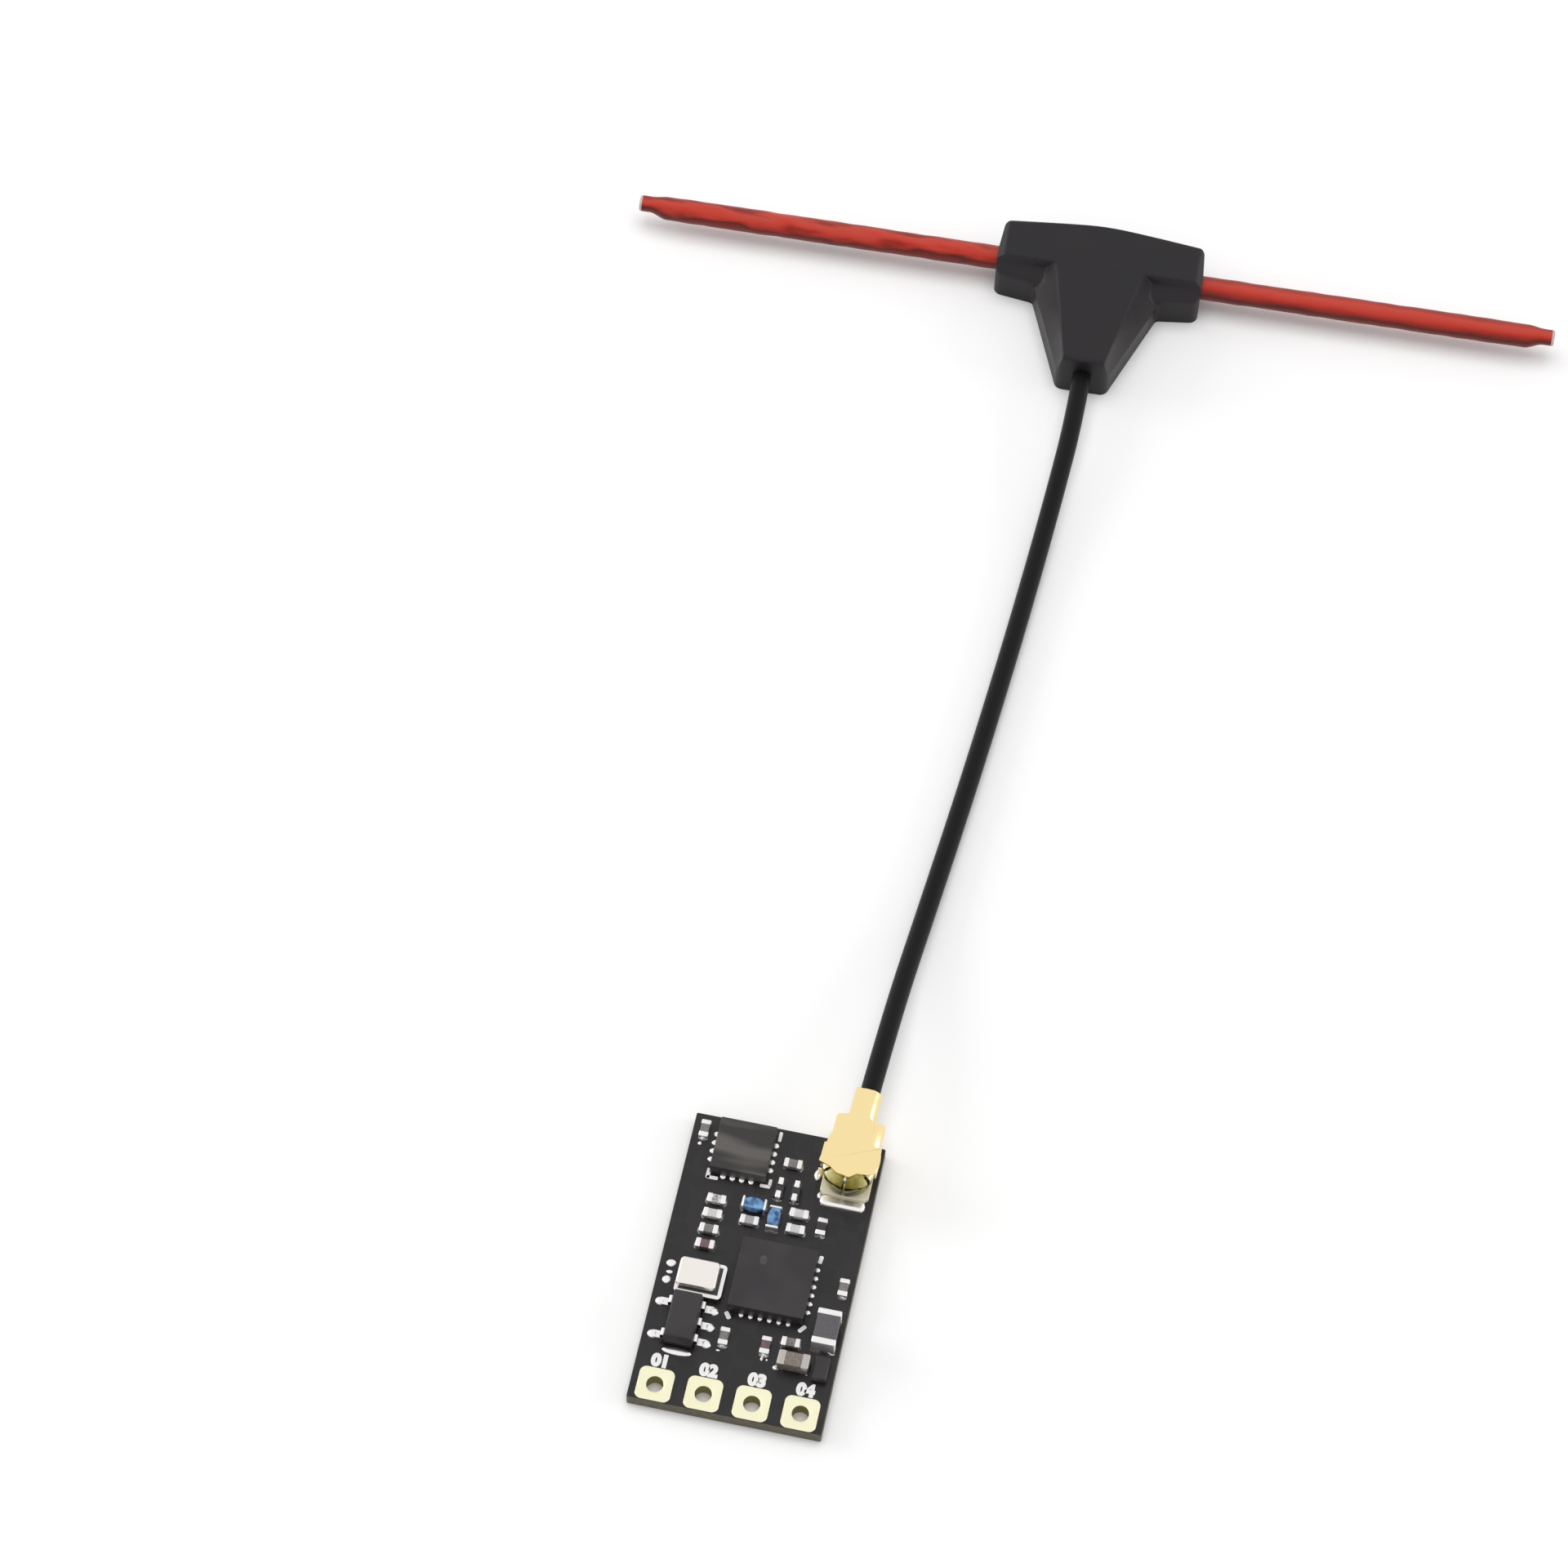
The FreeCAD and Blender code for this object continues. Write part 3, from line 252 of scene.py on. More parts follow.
def spring_gold():
    """The skirt's gold: thin and greenish, with a dark olive painted reflection of the black board
    within 2 mm of a spot at the front."""
    made, tree, surface, place = finish("spring_gold_plate", "#cdc384", 0.14, Metallic=1.0)
    reflection_spot_distance = add(tree, "ShaderNodeVectorMath", {0: place, 1: [v * MM for v in PAINTED_REFLECTION_SPOT]},
               operation="DISTANCE")
    blur = add(tree, "ShaderNodeMath", {0: speckle(tree, place, 0.4), 1: 0.6 * MM,
                                        2: reflection_spot_distance.outputs["Value"]}, operation="MULTIPLY_ADD")
    share = add(tree, "ShaderNodeMapRange", {"Value": blur.outputs[0], "From Min": 0.7 * MM,
                                             "From Max": 2.0 * MM})
    tinted(tree, surface, share.outputs[0], (0.0, "#443b12"), (0.3, "#7a6f32"),
           (0.6, "#b9b174"), (1.0, "#ece6b4"))
    return grained(made, tree, surface, place, 0.3, 0.002, (0.1, 0.2))


def painted_shade_leg_tin(low, high):
    """Tinned strip of the bent legs, between two heights in millimetres: bright where it lies
    level at the foot and the shoulder, and darkened on the slope between them by painted shade
    that stands in for the dark board it reflects."""
    made, tree, surface, place = finish("bent_leg_tin_painted_shade", "#efedec", 0.3, Metallic=1.0)
    height = add(tree, "ShaderNodeSeparateXYZ", {"Vector": place}).outputs["Z"]
    share = add(tree, "ShaderNodeMapRange", {"Value": height, "From Min": low * MM,
                                             "From Max": high * MM})
    tinted(tree, surface, share.outputs[0], (0.3, "#efedec"), (0.42, "#4a474a"),
           (0.8, "#3c3a3c"), (0.9, "#efedec"))
    return grained(made, tree, surface, place, 0.3, 0.004, (0.24, 0.36))


def solder_metal():
    """Reflowed solder: a bright skin that froze in soft waves about 0.25 mm long."""
    made, tree, surface, place = finish("reflowed_solder", "#f3f1f0", 0.3, Metallic=1.0)
    return grained(made, tree, surface, place, 0.25, 0.012, (0.24, 0.42))


def tin_plate(name, colour):
    """Matt tin over the chips' end caps, the crystal's rim and the two fine wires."""
    made, tree, surface, place = finish(name, colour, 0.42, Metallic=1.0)
    return grained(made, tree, surface, place, 0.09, 0.003, (0.36, 0.5))


def lid_nickel():
    """The crystal's lid: rolled nickel alloy, pale and slightly warm, brushed by handling."""
    made, tree, surface, place = finish("rolled_nickel_lid", "#efe9e4", 0.36, Metallic=1.0)
    return grained(made, tree, surface, place, 0.16, 0.003, (0.3, 0.44))


# %% [markdown]
# Fired ceramic and glass make up the tiny two-ended chips. One function gives each its own
# colour, and a speckle fine enough to look like sintered grain.

# %% Ceramic, plastic and coated finishes
def fired_ceramic(name, low, high, roughness=0.35, lump=0.12):
    """Sintered ceramic: two close tones in lumps about a tenth of a millimetre wide."""
    made, tree, surface, place = finish(name, low, roughness, **{"Coat Weight": 0.15})
    tinted(tree, surface, speckle(tree, place, lump, 4.0), (0.38, low), (0.66, high))
    return grained(made, tree, surface, place, lump * 0.6, 0.004)


def ivory_plastic():
    """Liquid crystal polymer, the ivory moulding under coaxial sockets: faint flow marks."""
    made, tree, surface, place = finish("ivory_lcp", "#e6e0c8", 0.4)
    tinted(tree, surface, speckle(tree, place, 0.5, 3.0, (1, 3, 1)), (0.3, "#ded8be"),
           (0.7, "#ece7d4"))
    return grained(made, tree, surface, place, 0.1, 0.003)


def shrunk_red(name, streak):
    """Red heat-shrink tube over brass, with painted light and shade across it: darkest under the
    arm's front, brightest along its middle, darker along its back, and brown streaks of painted
    shade about 3 mm long. facing runs from 0 under the arm's front to 1 at its back, and streak
    tells how strongly the streaks wander along the arm."""
    made, tree, surface, place = finish(name, "#a92f27", 0.3, **{
        "Coat Weight": 0.1, "Coat Roughness": 0.2, "Specular IOR Level": 0.22})
    facing = add(tree, "ShaderNodeAttribute", attribute_name="facing").outputs["Fac"]
    streaks = add(tree, "ShaderNodeMapRange", {
        "Value": speckle(tree, place, 1.3, 2.5, (2.2, 0.6, 0.6)), "From Min": 0.36,
        "From Max": 0.64, "To Min": -0.2 * streak, "To Max": 0.1 * streak})
    shade = add(tree, "ShaderNodeMath", {0: facing, 1: streaks.outputs[0]}, operation="ADD")
    tinted(tree, surface, shade.outputs[0], (0.0, "#761a10"), (0.13, "#521208"),
           (0.25, "#941e10"), (0.45, "#bf3627"), (0.72, "#bd4538"), (0.93, "#83271f"))
    return grained(made, tree, surface, place, 0.7, 0.012, (0.26, 0.38))


def white_ink():
    """Silk-screened epoxy ink: chalky white, its edge a little uneven."""
    return grained(*finish("silkscreen_ink", "#eeedec", 0.6), 0.05, 0.004)


# %% [markdown]
# Each finish is made once and shared by all the pieces that have it. The small chips differ
# in the tone of their ceramic, as they do in the photograph.

# %% The set of finishes
MASK = solder_mask()
LAMINATE = bare_laminate()
EPOXY = chip_epoxy("moulded_chip_epoxy", "#2b272a", "#332f32")
BANDED_EPOXY = chip_epoxy("silica_banded_epoxy", "#2e2b2b", "#5a5654", (2.4, 0.45, 1))
HOUSING = antenna_plastic()
JACKET = lead_jacket()
PAD_GOLD = plated_gold("pale_immersion_gold", "#f6f3d2", 0.4)
# A darker copy of the pad gold for the bore's wall: painted shade inside the hole.
SHADED_BARREL_GOLD = plated_gold("shaded_barrel_plate", "#96905f", 0.55)
PLUG_GOLD = plated_gold("bright_gold_plate", "#f7e0a6", 0.22)
SKIRT_GOLD = spring_gold()
SOLDER = solder_metal()
TIN = tin_plate("matt_tin_plate", "#efedec")
# A darker tin for the caps of one supply capacitor.
DULL_TIN = tin_plate("darker_tin_plate", "#bdb7b2")
LID = lid_nickel()
IVORY = ivory_plastic()
RED = shrunk_red("red_shrunk_polyolefin", 0.25)
STREAKED_RED = shrunk_red("streaked_red_polyolefin", 1.0)
CUT_EDGE = fired_ceramic("cut_polyolefin_rim", "#b7aaa4", "#cabdb8", 0.6, 0.2)
INK = white_ink()
CERAMIC_CASE = fired_ceramic("black_ceramic_case", "#242223", "#2f2d2d")
RESISTOR_GLASS = fired_ceramic("black_resistor_glaze", "#1e1d20", "#29272b", 0.35)
GREY_CERAMIC = fired_ceramic("grey_titanate", "#6b6867", "#827e7d")
LIGHT_CERAMIC = fired_ceramic("light_titanate", "#9c9a98", "#adabaa")
SPECKLED_GLAZE = fired_ceramic("speckled_white_glaze", "#77757a", "#e2e0df", 0.3, 0.16)
SLATE_CERAMIC = fired_ceramic("slate_titanate", "#4d494d", "#585458")
PALE_CERAMIC = fired_ceramic("pale_titanate", "#c3c1c0", "#cfcdcc")
BROWN_CERAMIC = fired_ceramic("brown_titanate", "#6b625b", "#857b73")
FERRITE = fired_ceramic("purple_ferrite", "#5b454c", "#6d565c")
# The blue coat's pale lumps are painted highlights.
BLUE_COAT_PAINTED_HIGHLIGHTS = fired_ceramic("blue_coil_enamel_painted_highlights", "#1c4274", "#76abd8", 0.18, 0.45)
WHITE_PLASTIC = fired_ceramic("white_insulator", "#dedcd4", "#eceae2", 0.4, 0.4)
CORE_PLASTIC = fired_ceramic("clear_core_plastic", "#d8d8d2", "#e6e6e0", 0.25, 0.5)
BRASS = plated_gold("drawn_brass_tube", "#d9b36c", 0.28)
BRAID = plated_gold("tinned_copper_braid", "#cfcac4", 0.38)
print("finishes:", len(bpy.data.materials))


# %% [markdown]
# ## Surfaces
# Nearly every piece is a stack of closed loops: level loops for a moulding, loops along a
# path for a tube. A stack is a grid, and one function closes its ends, joins its points into
# faces and turns the faces outwards. Several equal grids, such as solder drops, share a mesh.

# %% Objects, finishes and the faces of a grid
def placed(name, data):
    """A new object in the scene that shows this data."""
    item = bpy.data.objects.new(name, data)
    bpy.context.scene.collection.objects.link(item)
    return item


def dress(mesh, *materials):
    """Give a mesh its finishes, in place of any that it has."""
    mesh.materials.clear()
    for material in materials:
        mesh.materials.append(material)


def grid_faces(first, count, rows, columns, ring=False):
    """Faces of count grids whose columns close into loops: quads between neighbours, with
    points numbered from first. The first and the last loop get one face each, or meet each
    other where the grid is a ring."""
    point = first + np.arange(count * rows * columns).reshape(count, rows, columns)
    ends = np.concatenate([point[:, 0, ::-1], point[:, -1]]).tolist()
    if ring:
        point, ends = np.concatenate([point, point[:, :1]], axis=1), []
    right = np.roll(point, -1, axis=2)
    quads = np.stack([point[:, :-1], right[:, :-1], right[:, 1:], point[:, 1:]], -1)
    return quads.reshape(-1, 4).tolist() + ends


# %% [markdown]
# Nearly every piece goes the same way: its mesh stands where the piece is, its faces turn
# outwards, edges sharper than a given angle stay crisp, and the solid that it stands for is
# hidden. One function does that, and another builds the mesh from its grids.


def finish_piece(name, mesh, replaces="", smooth=35.0):
    """Turn faces outwards, shade smooth up to an angle, set the piece in the model, and print
    how many faces it has."""
    work = bmesh.new()
    work.from_mesh(mesh)
    bmesh.ops.recalc_face_normals(work, faces=work.faces)
    work.to_mesh(mesh)
    work.free()
    mesh.shade_smooth()
    mesh.set_sharp_from_angle(angle=math.radians(smooth))
    piece = placed(name, mesh)
    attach(piece, "root")
    if replaces:
        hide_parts(replaces)
    print(name, len(mesh.polygons), "faces")
    return piece


# %% From grids to meshes
def make_piece(name, grids, materials, replaces="", band=None, smooth=35.0, ring=False):
    """A mesh from grids of shape (count, rows, columns, 3) in millimetres. band gives each
    row of faces the number of its material; the ends take their neighbour's."""
    grids = [np.asarray(g, float) for g in (grids if isinstance(grids, list) else [grids])]
    grids = [g if g.ndim == 4 else g[None] for g in grids]
    points, faces, chosen = [], [], []
    for grid in grids:
        count, rows, columns = grid.shape[:3]
        faces += grid_faces(sum(len(p) for p in points), count, rows, columns, ring)
        points.append(grid.reshape(-1, 3))
        rows_band = np.zeros(rows - (not ring), int) if band is None else np.asarray(band)
        ends = [] if ring else [np.full(count, rows_band[0]), np.full(count, rows_band[-1])]
        chosen.append(np.concatenate([np.tile(np.repeat(rows_band, columns), count), *ends]))
    mesh = bpy.data.meshes.new(name)
    mesh.from_pydata((np.concatenate(points) * MM).tolist(), [], faces)
    dress(mesh, *(materials if isinstance(materials, list) else [materials]))
    mesh.polygons.foreach_set("material_index", np.concatenate(chosen).astype(np.int32))
    return finish_piece(name, mesh, replaces, smooth)


# %% [markdown]
# Two outlines do most of the work: a rectangle with arc corners, and a free polygon whose
# corners are rounded by arcs that touch both sides.

# %% Outlines
def rounded_loop(half_x, half_y, radius, steps=5):
    """Points round rectangles: each corner's centre plus the radius along a turning angle.
    half_x, half_y and radius may be arrays, one value for each loop."""
    half_x, half_y, radius = np.broadcast_arrays(*(np.atleast_1d(np.asarray(v, float))
                                                   for v in (half_x, half_y, radius)))
    sign = np.array([[1, 1], [-1, 1], [-1, -1], [1, -1]])
    angle = np.radians(np.arange(0, 360, 90)[:, None] + np.linspace(0, 90, steps))
    x = sign[:, 0, None] * (half_x - radius)[:, None, None] \
        + radius[:, None, None] * np.cos(angle)
    y = sign[:, 1, None] * (half_y - radius)[:, None, None] \
        + radius[:, None, None] * np.sin(angle)
    return np.stack([x, y], -1).reshape(len(half_x), -1, 2)


def rounded_polygon(corners, radii, steps=5):
    """An outline through arcs at the corners. An arc of radius r starts r / tan(half the
    corner's angle) before the corner, and its centre lies on the corner's bisector."""
    corner = np.asarray(corners, float)
    radius = np.broadcast_to(np.asarray(radii, float), (len(corner),))
    back = np.roll(corner, 1, 0) - corner
    ahead = np.roll(corner, -1, 0) - corner
    back /= np.linalg.norm(back, axis=1)[:, None]
    ahead /= np.linalg.norm(ahead, axis=1)[:, None]
    half = np.arccos(np.clip((back * ahead).sum(1), -1, 1)) / 2
    bisector = back + ahead
    bisector /= np.linalg.norm(bisector, axis=1)[:, None]
    centre = corner + bisector * (radius / np.sin(half))[:, None]
    start = corner + back * (radius / np.tan(half))[:, None] - centre
    end = corner + ahead * (radius / np.tan(half))[:, None] - centre
    first = np.arctan2(start[:, 1], start[:, 0])
    sweep = np.arctan2(end[:, 1], end[:, 0]) - first
    sweep = (sweep + math.pi) % (2 * math.pi) - math.pi
    angle = first[:, None] + sweep[:, None] * np.linspace(0, 1, steps)
    arc = np.stack([np.cos(angle), np.sin(angle)], -1) * radius[:, None, None]
    return (centre[:, None] + arc).reshape(-1, 2)


def evenly(outline, count):
    """The same closed outline with count points at equal steps along its length."""
    closed = np.vstack([outline, outline[:1]])
    length = np.concatenate([[0], np.cumsum(np.linalg.norm(np.diff(closed, axis=0), axis=1))])
    at = np.linspace(0, length[-1], count, endpoint=False)
    return np.stack([np.interp(at, length, closed[:, i]) for i in (0, 1)], -1)


def outward(outline):
    """The unit normal at each point of an anticlockwise outline, square to its neighbours."""
    along = np.roll(outline, -1, 0) - np.roll(outline, 1, 0)
    normal = np.stack([along[:, 1], -along[:, 0]], -1)
    return normal / np.linalg.norm(normal, axis=1)[:, None]


# %% [markdown]
# Stamped, moulded and printed pieces are outlines carried upwards. A quarter circle over the
# edge is what catches the light: it is 0.02 to 0.08 mm here, and never quite sharp.

# %% Walls and their edges
def quarter(edge, steps=4):
    """Rise and inset along a quarter circle: edge sin t and edge (1 - cos t)."""
    turn = np.radians(np.linspace(0, 90, steps))
    return edge * np.sin(turn), edge * (1 - np.cos(turn))


def level_rows(low, high, edge, both=False):
    """Heights and insets of a wall with a round top edge, and a round foot if both. One more
    loop just inside the edge keeps the flat face flat in its shading."""
    rise, inset = (np.append(v, v[-1] + more) for v, more in zip(quarter(edge), (0, 0.012)))
    heights, insets = [high - edge + rise], [inset]
    if both:
        heights.insert(0, low + edge - rise[::-1])
        insets.insert(0, inset[::-1])
    else:
        heights.insert(0, [low])
        insets.insert(0, [0.0])
    return np.concatenate(heights), np.concatenate(insets)


# %% Blocks, plates and drops
def lifted(loops, heights):
    """Flat loops, each raised to its own height."""
    level = np.reshape(heights, (-1, 1, 1))
    return np.concatenate([loops, np.broadcast_to(level, (*loops.shape[:2], 1))], -1)


def moulded(low, high, corner, edge, draft=0.0, steps=5):
    """A moulded block between two corners: its walls lean in by draft from foot to top."""
    height, inset = level_rows(low[2], high[2], edge)
    inset = inset + draft * (height - low[2]) / (high[2] - low[2])
    centre, half = (low + high) / 2, (high - low) / 2
    loop = rounded_loop(half[0] - inset, half[1] - inset, np.maximum(corner - inset, 0.02),
                        steps)
    return lifted(loop + centre[:2], height)


def stamped(outline, low, high, edge=0.02):
    """A flat outline carried from low to high, with both its edges rounded."""
    height, inset = level_rows(low, high, edge, both=True)
    return lifted(outline - outward(outline) * inset[:, None, None], height)


def drops(centres, half_x, half_y, rise, power=0.5, turn=0.0, rows=6, columns=14):
    """Solder drops: over each ellipse the height is rise (1 - r ^ 2) ^ power, where r runs
    from 1 at the rim to 0 at the middle. A power above 1 gives a tent with hollow flanks."""
    centres = np.atleast_2d(np.asarray(centres, float))
    half_x, half_y, rise, turn = (np.broadcast_to(np.asarray(v, float), (len(centres),))
                                  for v in (half_x, half_y, rise, np.radians(turn)))
    reach = np.sin(np.linspace(math.pi / 2, 0.12, rows))[:, None]
    angle = np.linspace(0, 2 * math.pi, columns, endpoint=False)[None]
    x = half_x[:, None, None] * reach * np.cos(angle)
    y = half_y[:, None, None] * reach * np.sin(angle)
    cos, sin = np.cos(turn)[:, None, None], np.sin(turn)[:, None, None]
    lift = rise[:, None, None] * np.broadcast_to((1 - reach ** 2) ** power, x.shape)
    local = np.stack([x * cos - y * sin, x * sin + y * cos, lift], -1)
    return local + centres[:, None, None]


# %% [markdown]
# ## Camera and light
# The photograph looks down at 58 degrees from beyond the wire holes, through a long lens.
# The room is white: a broad soft lamp high behind the object, one low at either side, and a
# white floor that keeps only a faint shadow. World and lamps add up to the plain level at
# which a colour renders as it is written. The eye, and any mirror or lens, sees the room as
# pure white, because a strength of 1 is white; the side lamps are far brighter, and so
# every dark flank that leans towards them is lighter than the flat tops.

# %% The camera
CAMERA_AZIMUTH, CAMERA_ELEVATION, CAMERA_ROLL = -10.0577, 58.1958, 2.2209
CAMERA_DISTANCE = 270.176
CAMERA_TARGET = Vector((-4.839, 29.403, 0.8))
SENSOR_WIDTH, FOCAL_LENGTH = 36.0, 112.5


def aimed(target, azimuth, elevation, roll, distance):
    """A pose that looks at target: ahead is (sin a cos e, cos a cos e, -sin e)."""
    a, e, r = (math.radians(v) for v in (azimuth, elevation, roll))
    ahead = Vector((math.sin(a) * math.cos(e), math.cos(a) * math.cos(e), -math.sin(e)))
    side = Vector((math.cos(a), -math.sin(a), 0))
    up = side.cross(ahead)
    right = side * math.cos(r) + up * math.sin(r)
    top = up * math.cos(r) - side * math.sin(r)
    pose = Matrix((right, top, -ahead)).transposed().to_4x4()
    pose.translation = (target - ahead * distance) * MM
    return pose


lens = bpy.data.cameras.new("long_lens")
lens.sensor_width = SENSOR_WIDTH
lens.lens = FOCAL_LENGTH
lens.clip_start = 0.01
camera = placed("camera", lens)
camera.matrix_world = aimed(CAMERA_TARGET, CAMERA_AZIMUTH, CAMERA_ELEVATION, CAMERA_ROLL,
                            CAMERA_DISTANCE)
bpy.context.scene.camera = camera
bpy.context.scene.view_settings.view_transform = "Standard"
print("camera at", [round(v, 3) for v in camera.matrix_world.translation])

# %% Lamps
LAMP_TARGET = Vector((4, 34, 0))


def soft_lamp(name, azimuth, elevation, distance, size, watts, mirrored=True):
    """A square area lamp aimed at the middle of the object, seen in mirrors if mirrored."""
    lamp = bpy.data.lights.new(name, "AREA")
    lamp.size = size * MM
    lamp.energy = watts
    body = placed(name, lamp)
    body.matrix_world = aimed(LAMP_TARGET, azimuth, elevation, 0, distance)
    body.visible_glossy = mirrored
    print(name, watts, "W from", distance, "mm")


soft_lamp("ceiling_lamp", 168, 82, 450, 340, 0.8, mirrored=False)
soft_lamp("left_lamp", 95, 18, 460, 230, 0.7)
soft_lamp("right_lamp", -95, 18, 460, 160, 0.35)


# %% World and floor
def seen_directly(tree):
    """1 for rays that show a thing to the eye, straight, mirrored or through glass."""
    ray = add(tree, "ShaderNodeLightPath").outputs
    mirrored = add(tree, "ShaderNodeMath", {0: ray["Is Camera Ray"], 1: ray["Is Glossy Ray"]},
                   operation="MAXIMUM")
    return add(tree, "ShaderNodeMath", {0: mirrored.outputs[0], 1: ray["Is Transmission Ray"]},
               operation="MAXIMUM").outputs[0]


ROOM_LEVEL = 0.57
world = bpy.data.worlds.new("white_room")
bpy.context.scene.world = world
world.use_nodes = True
room = world.node_tree
room.nodes.clear()
room_light = add(room, "ShaderNodeBackground", {"Color": linear("#ffffff"),
                                                "Strength": ROOM_LEVEL})
room_seen = add(room, "ShaderNodeBackground", {"Color": linear("#ffffff"), "Strength": 1.0})
mix = add(room, "ShaderNodeMixShader", {0: seen_directly(room), 1: room_light.outputs[0],
                                        2: room_seen.outputs[0]})
room.links.new(mix.outputs[0], add(room, "ShaderNodeOutputWorld").inputs[0])

FLOOR_HALF = 1500.0
floor_mesh = bpy.data.meshes.new("floor")
floor_mesh.from_pydata([(x * FLOOR_HALF * MM, y * FLOOR_HALF * MM, 0)
                        for x, y in ((-1, -1), (1, -1), (1, 1), (-1, 1))], [], [(0, 1, 2, 3)])
floor = placed("floor", floor_mesh)


def white_paper():
    """Matt white paper: plain diffuse, and for the eye just bright enough to read as white."""
    made, tree, surface, place = finish("white_paper", "#f4f3f4", 0.9, **{
        "Specular IOR Level": 0.0})
    shown = add(tree, "ShaderNodeMix", {"Factor": seen_directly(tree),
                                        "A": linear("#e9e8e9"), "B": linear("#ffffff")},
                data_type="RGBA")
    tree.links.new(shown.outputs["Result"], surface.inputs["Base Color"])
    return made


dress(floor_mesh, white_paper())
print("room level", ROOM_LEVEL)


# %% [markdown]
# ## The circuit board
# The bare board is a routed plate of glass laminate under black lacquer. Its plan is a flat
# curve: one outline and four round holes. Blender fills between them, and the curve's bevel
# rounds every routed edge by 0.03 mm, so that no rim is razor sharp. The lacquer covers the
# faces, and the walls show the bare olive laminate.

# %% Meshes from flat curves
def mesh_of(curve, place):
    """The mesh of a filled curve, moved to a place in millimetres."""
    stand_in = bpy.data.objects.new(curve.name, curve)
    mesh = bpy.data.meshes.new_from_object(stand_in)
    bpy.data.objects.remove(stand_in)
    mesh.transform(Matrix.Translation(Vector(place) * MM))
    return mesh


board_low, board_high = box_mm("circuit_board")
pads = ["board_pad_%d" % n for n in (1, 2, 3, 4)]
BARREL_OUT, ROUTED_EDGE, BACK_LIFT = 0.5, 0.03, 0.012


def levelness(mesh):
    """How level each face lies: the size of the upward part of its normal."""
    normal = np.empty(len(mesh.polygons) * 3, np.float32)
    mesh.polygons.foreach_get("normal", normal)
    return np.abs(normal[2::3])


# %% Board
def routed_board():
    """The filled plan, thickened both ways about its middle height by half the board."""
    plan = bpy.data.curves.new("board_plan", "CURVE")
    plan.dimensions, plan.fill_mode = "2D", "BOTH"
    thick = BOARD_TOP - BACK_LIFT
    plan.extrude = (thick / 2 - ROUTED_EDGE) * MM
    plan.bevel_depth = ROUTED_EDGE * MM
    plan.bevel_resolution = 2
    half = (board_high - board_low)[:2] / 2 - ROUTED_EDGE
    angle = np.linspace(0, 2 * math.pi, 40, endpoint=False)
    ring = (BARREL_OUT + ROUTED_EDGE) * np.stack([np.cos(angle), -np.sin(angle)], -1)
    loops = [rounded_loop(half[0], half[1], 0.06, 4)[0] + (board_low + board_high)[:2] / 2]
    loops += [ring + sum(box_mm(pad))[:2] / 2 for pad in pads]
    for loop in loops:
        side = plan.splines.new("POLY")
        side.points.add(len(loop) - 1)
        side.points.foreach_set("co", np.column_stack([
            loop * MM, np.zeros(len(loop)), np.ones(len(loop))]).ravel())
        side.use_cyclic_u = True
    mesh = mesh_of(plan, (0, 0, BACK_LIFT + thick / 2))
    dress(mesh, MASK, LAMINATE)
    mesh.polygons.foreach_set("material_index", (levelness(mesh) < 0.75).astype(np.int32))
    work = bmesh.new()
    work.from_mesh(mesh)
    bmesh.ops.remove_doubles(work, verts=work.verts, dist=1e-7)
    work.to_mesh(mesh)
    work.free()
    made = finish_piece("routed_board", mesh, "circuit_board", 40)
    mesh.polygons.foreach_set("use_smooth", levelness(mesh) < 0.999)
    return made


print("board in metres", [round(v, 4) for v in routed_board().dimensions])

# %% [markdown]
# The white print is epoxy ink 0.02 mm thick, pressed through a screen: blunt bars at the
# chips' corners, and plain numbers over the wire holes.

# %% Print
INK_THICK, INK_SLOT = 0.02, "plug_plastic"


def strip(x, y, length, width, degrees=0.0):
    """The outline of one printed bar, its ends a little rounded, about its centre."""
    loop = rounded_loop(length / 2, width / 2, min(length, width) * 0.3, 3)
    return turned_to(lifted(loop, 0), (x, y), degrees)[0, :, :2]


def printed(name, outlines):
    """Ink bars on the board's face, one mesh for all of them."""
    return make_piece(name, [stamped(o, BOARD_TOP, BOARD_TOP + INK_THICK, 0.006)
                             for o in outlines], INK)


INK_SPREAD, NUMBER_TALL, NUMBER_OFF, DIGIT_SHARE = 0.07, 0.64, 0.12, 0.7


def printed_number(text, x, y, tall):
    """A numeral in the plain built-in face, set flat on the board as a thin mesh. A digit is
    DIGIT_SHARE of the face's size tall, and the ink spreads by INK_SPREAD."""
    letters = bpy.data.curves.new("print_" + text, "FONT")
    letters.body = text
    letters.size = tall / DIGIT_SHARE * MM
    letters.extrude = INK_THICK / 2 * MM
    letters.offset = INK_SPREAD * MM
    letters.align_x = "CENTER"
    mesh = mesh_of(letters, (x, y, BOARD_TOP + INK_THICK / 2))
    dress(mesh, INK)
    return finish_piece("print_number_" + text, mesh)


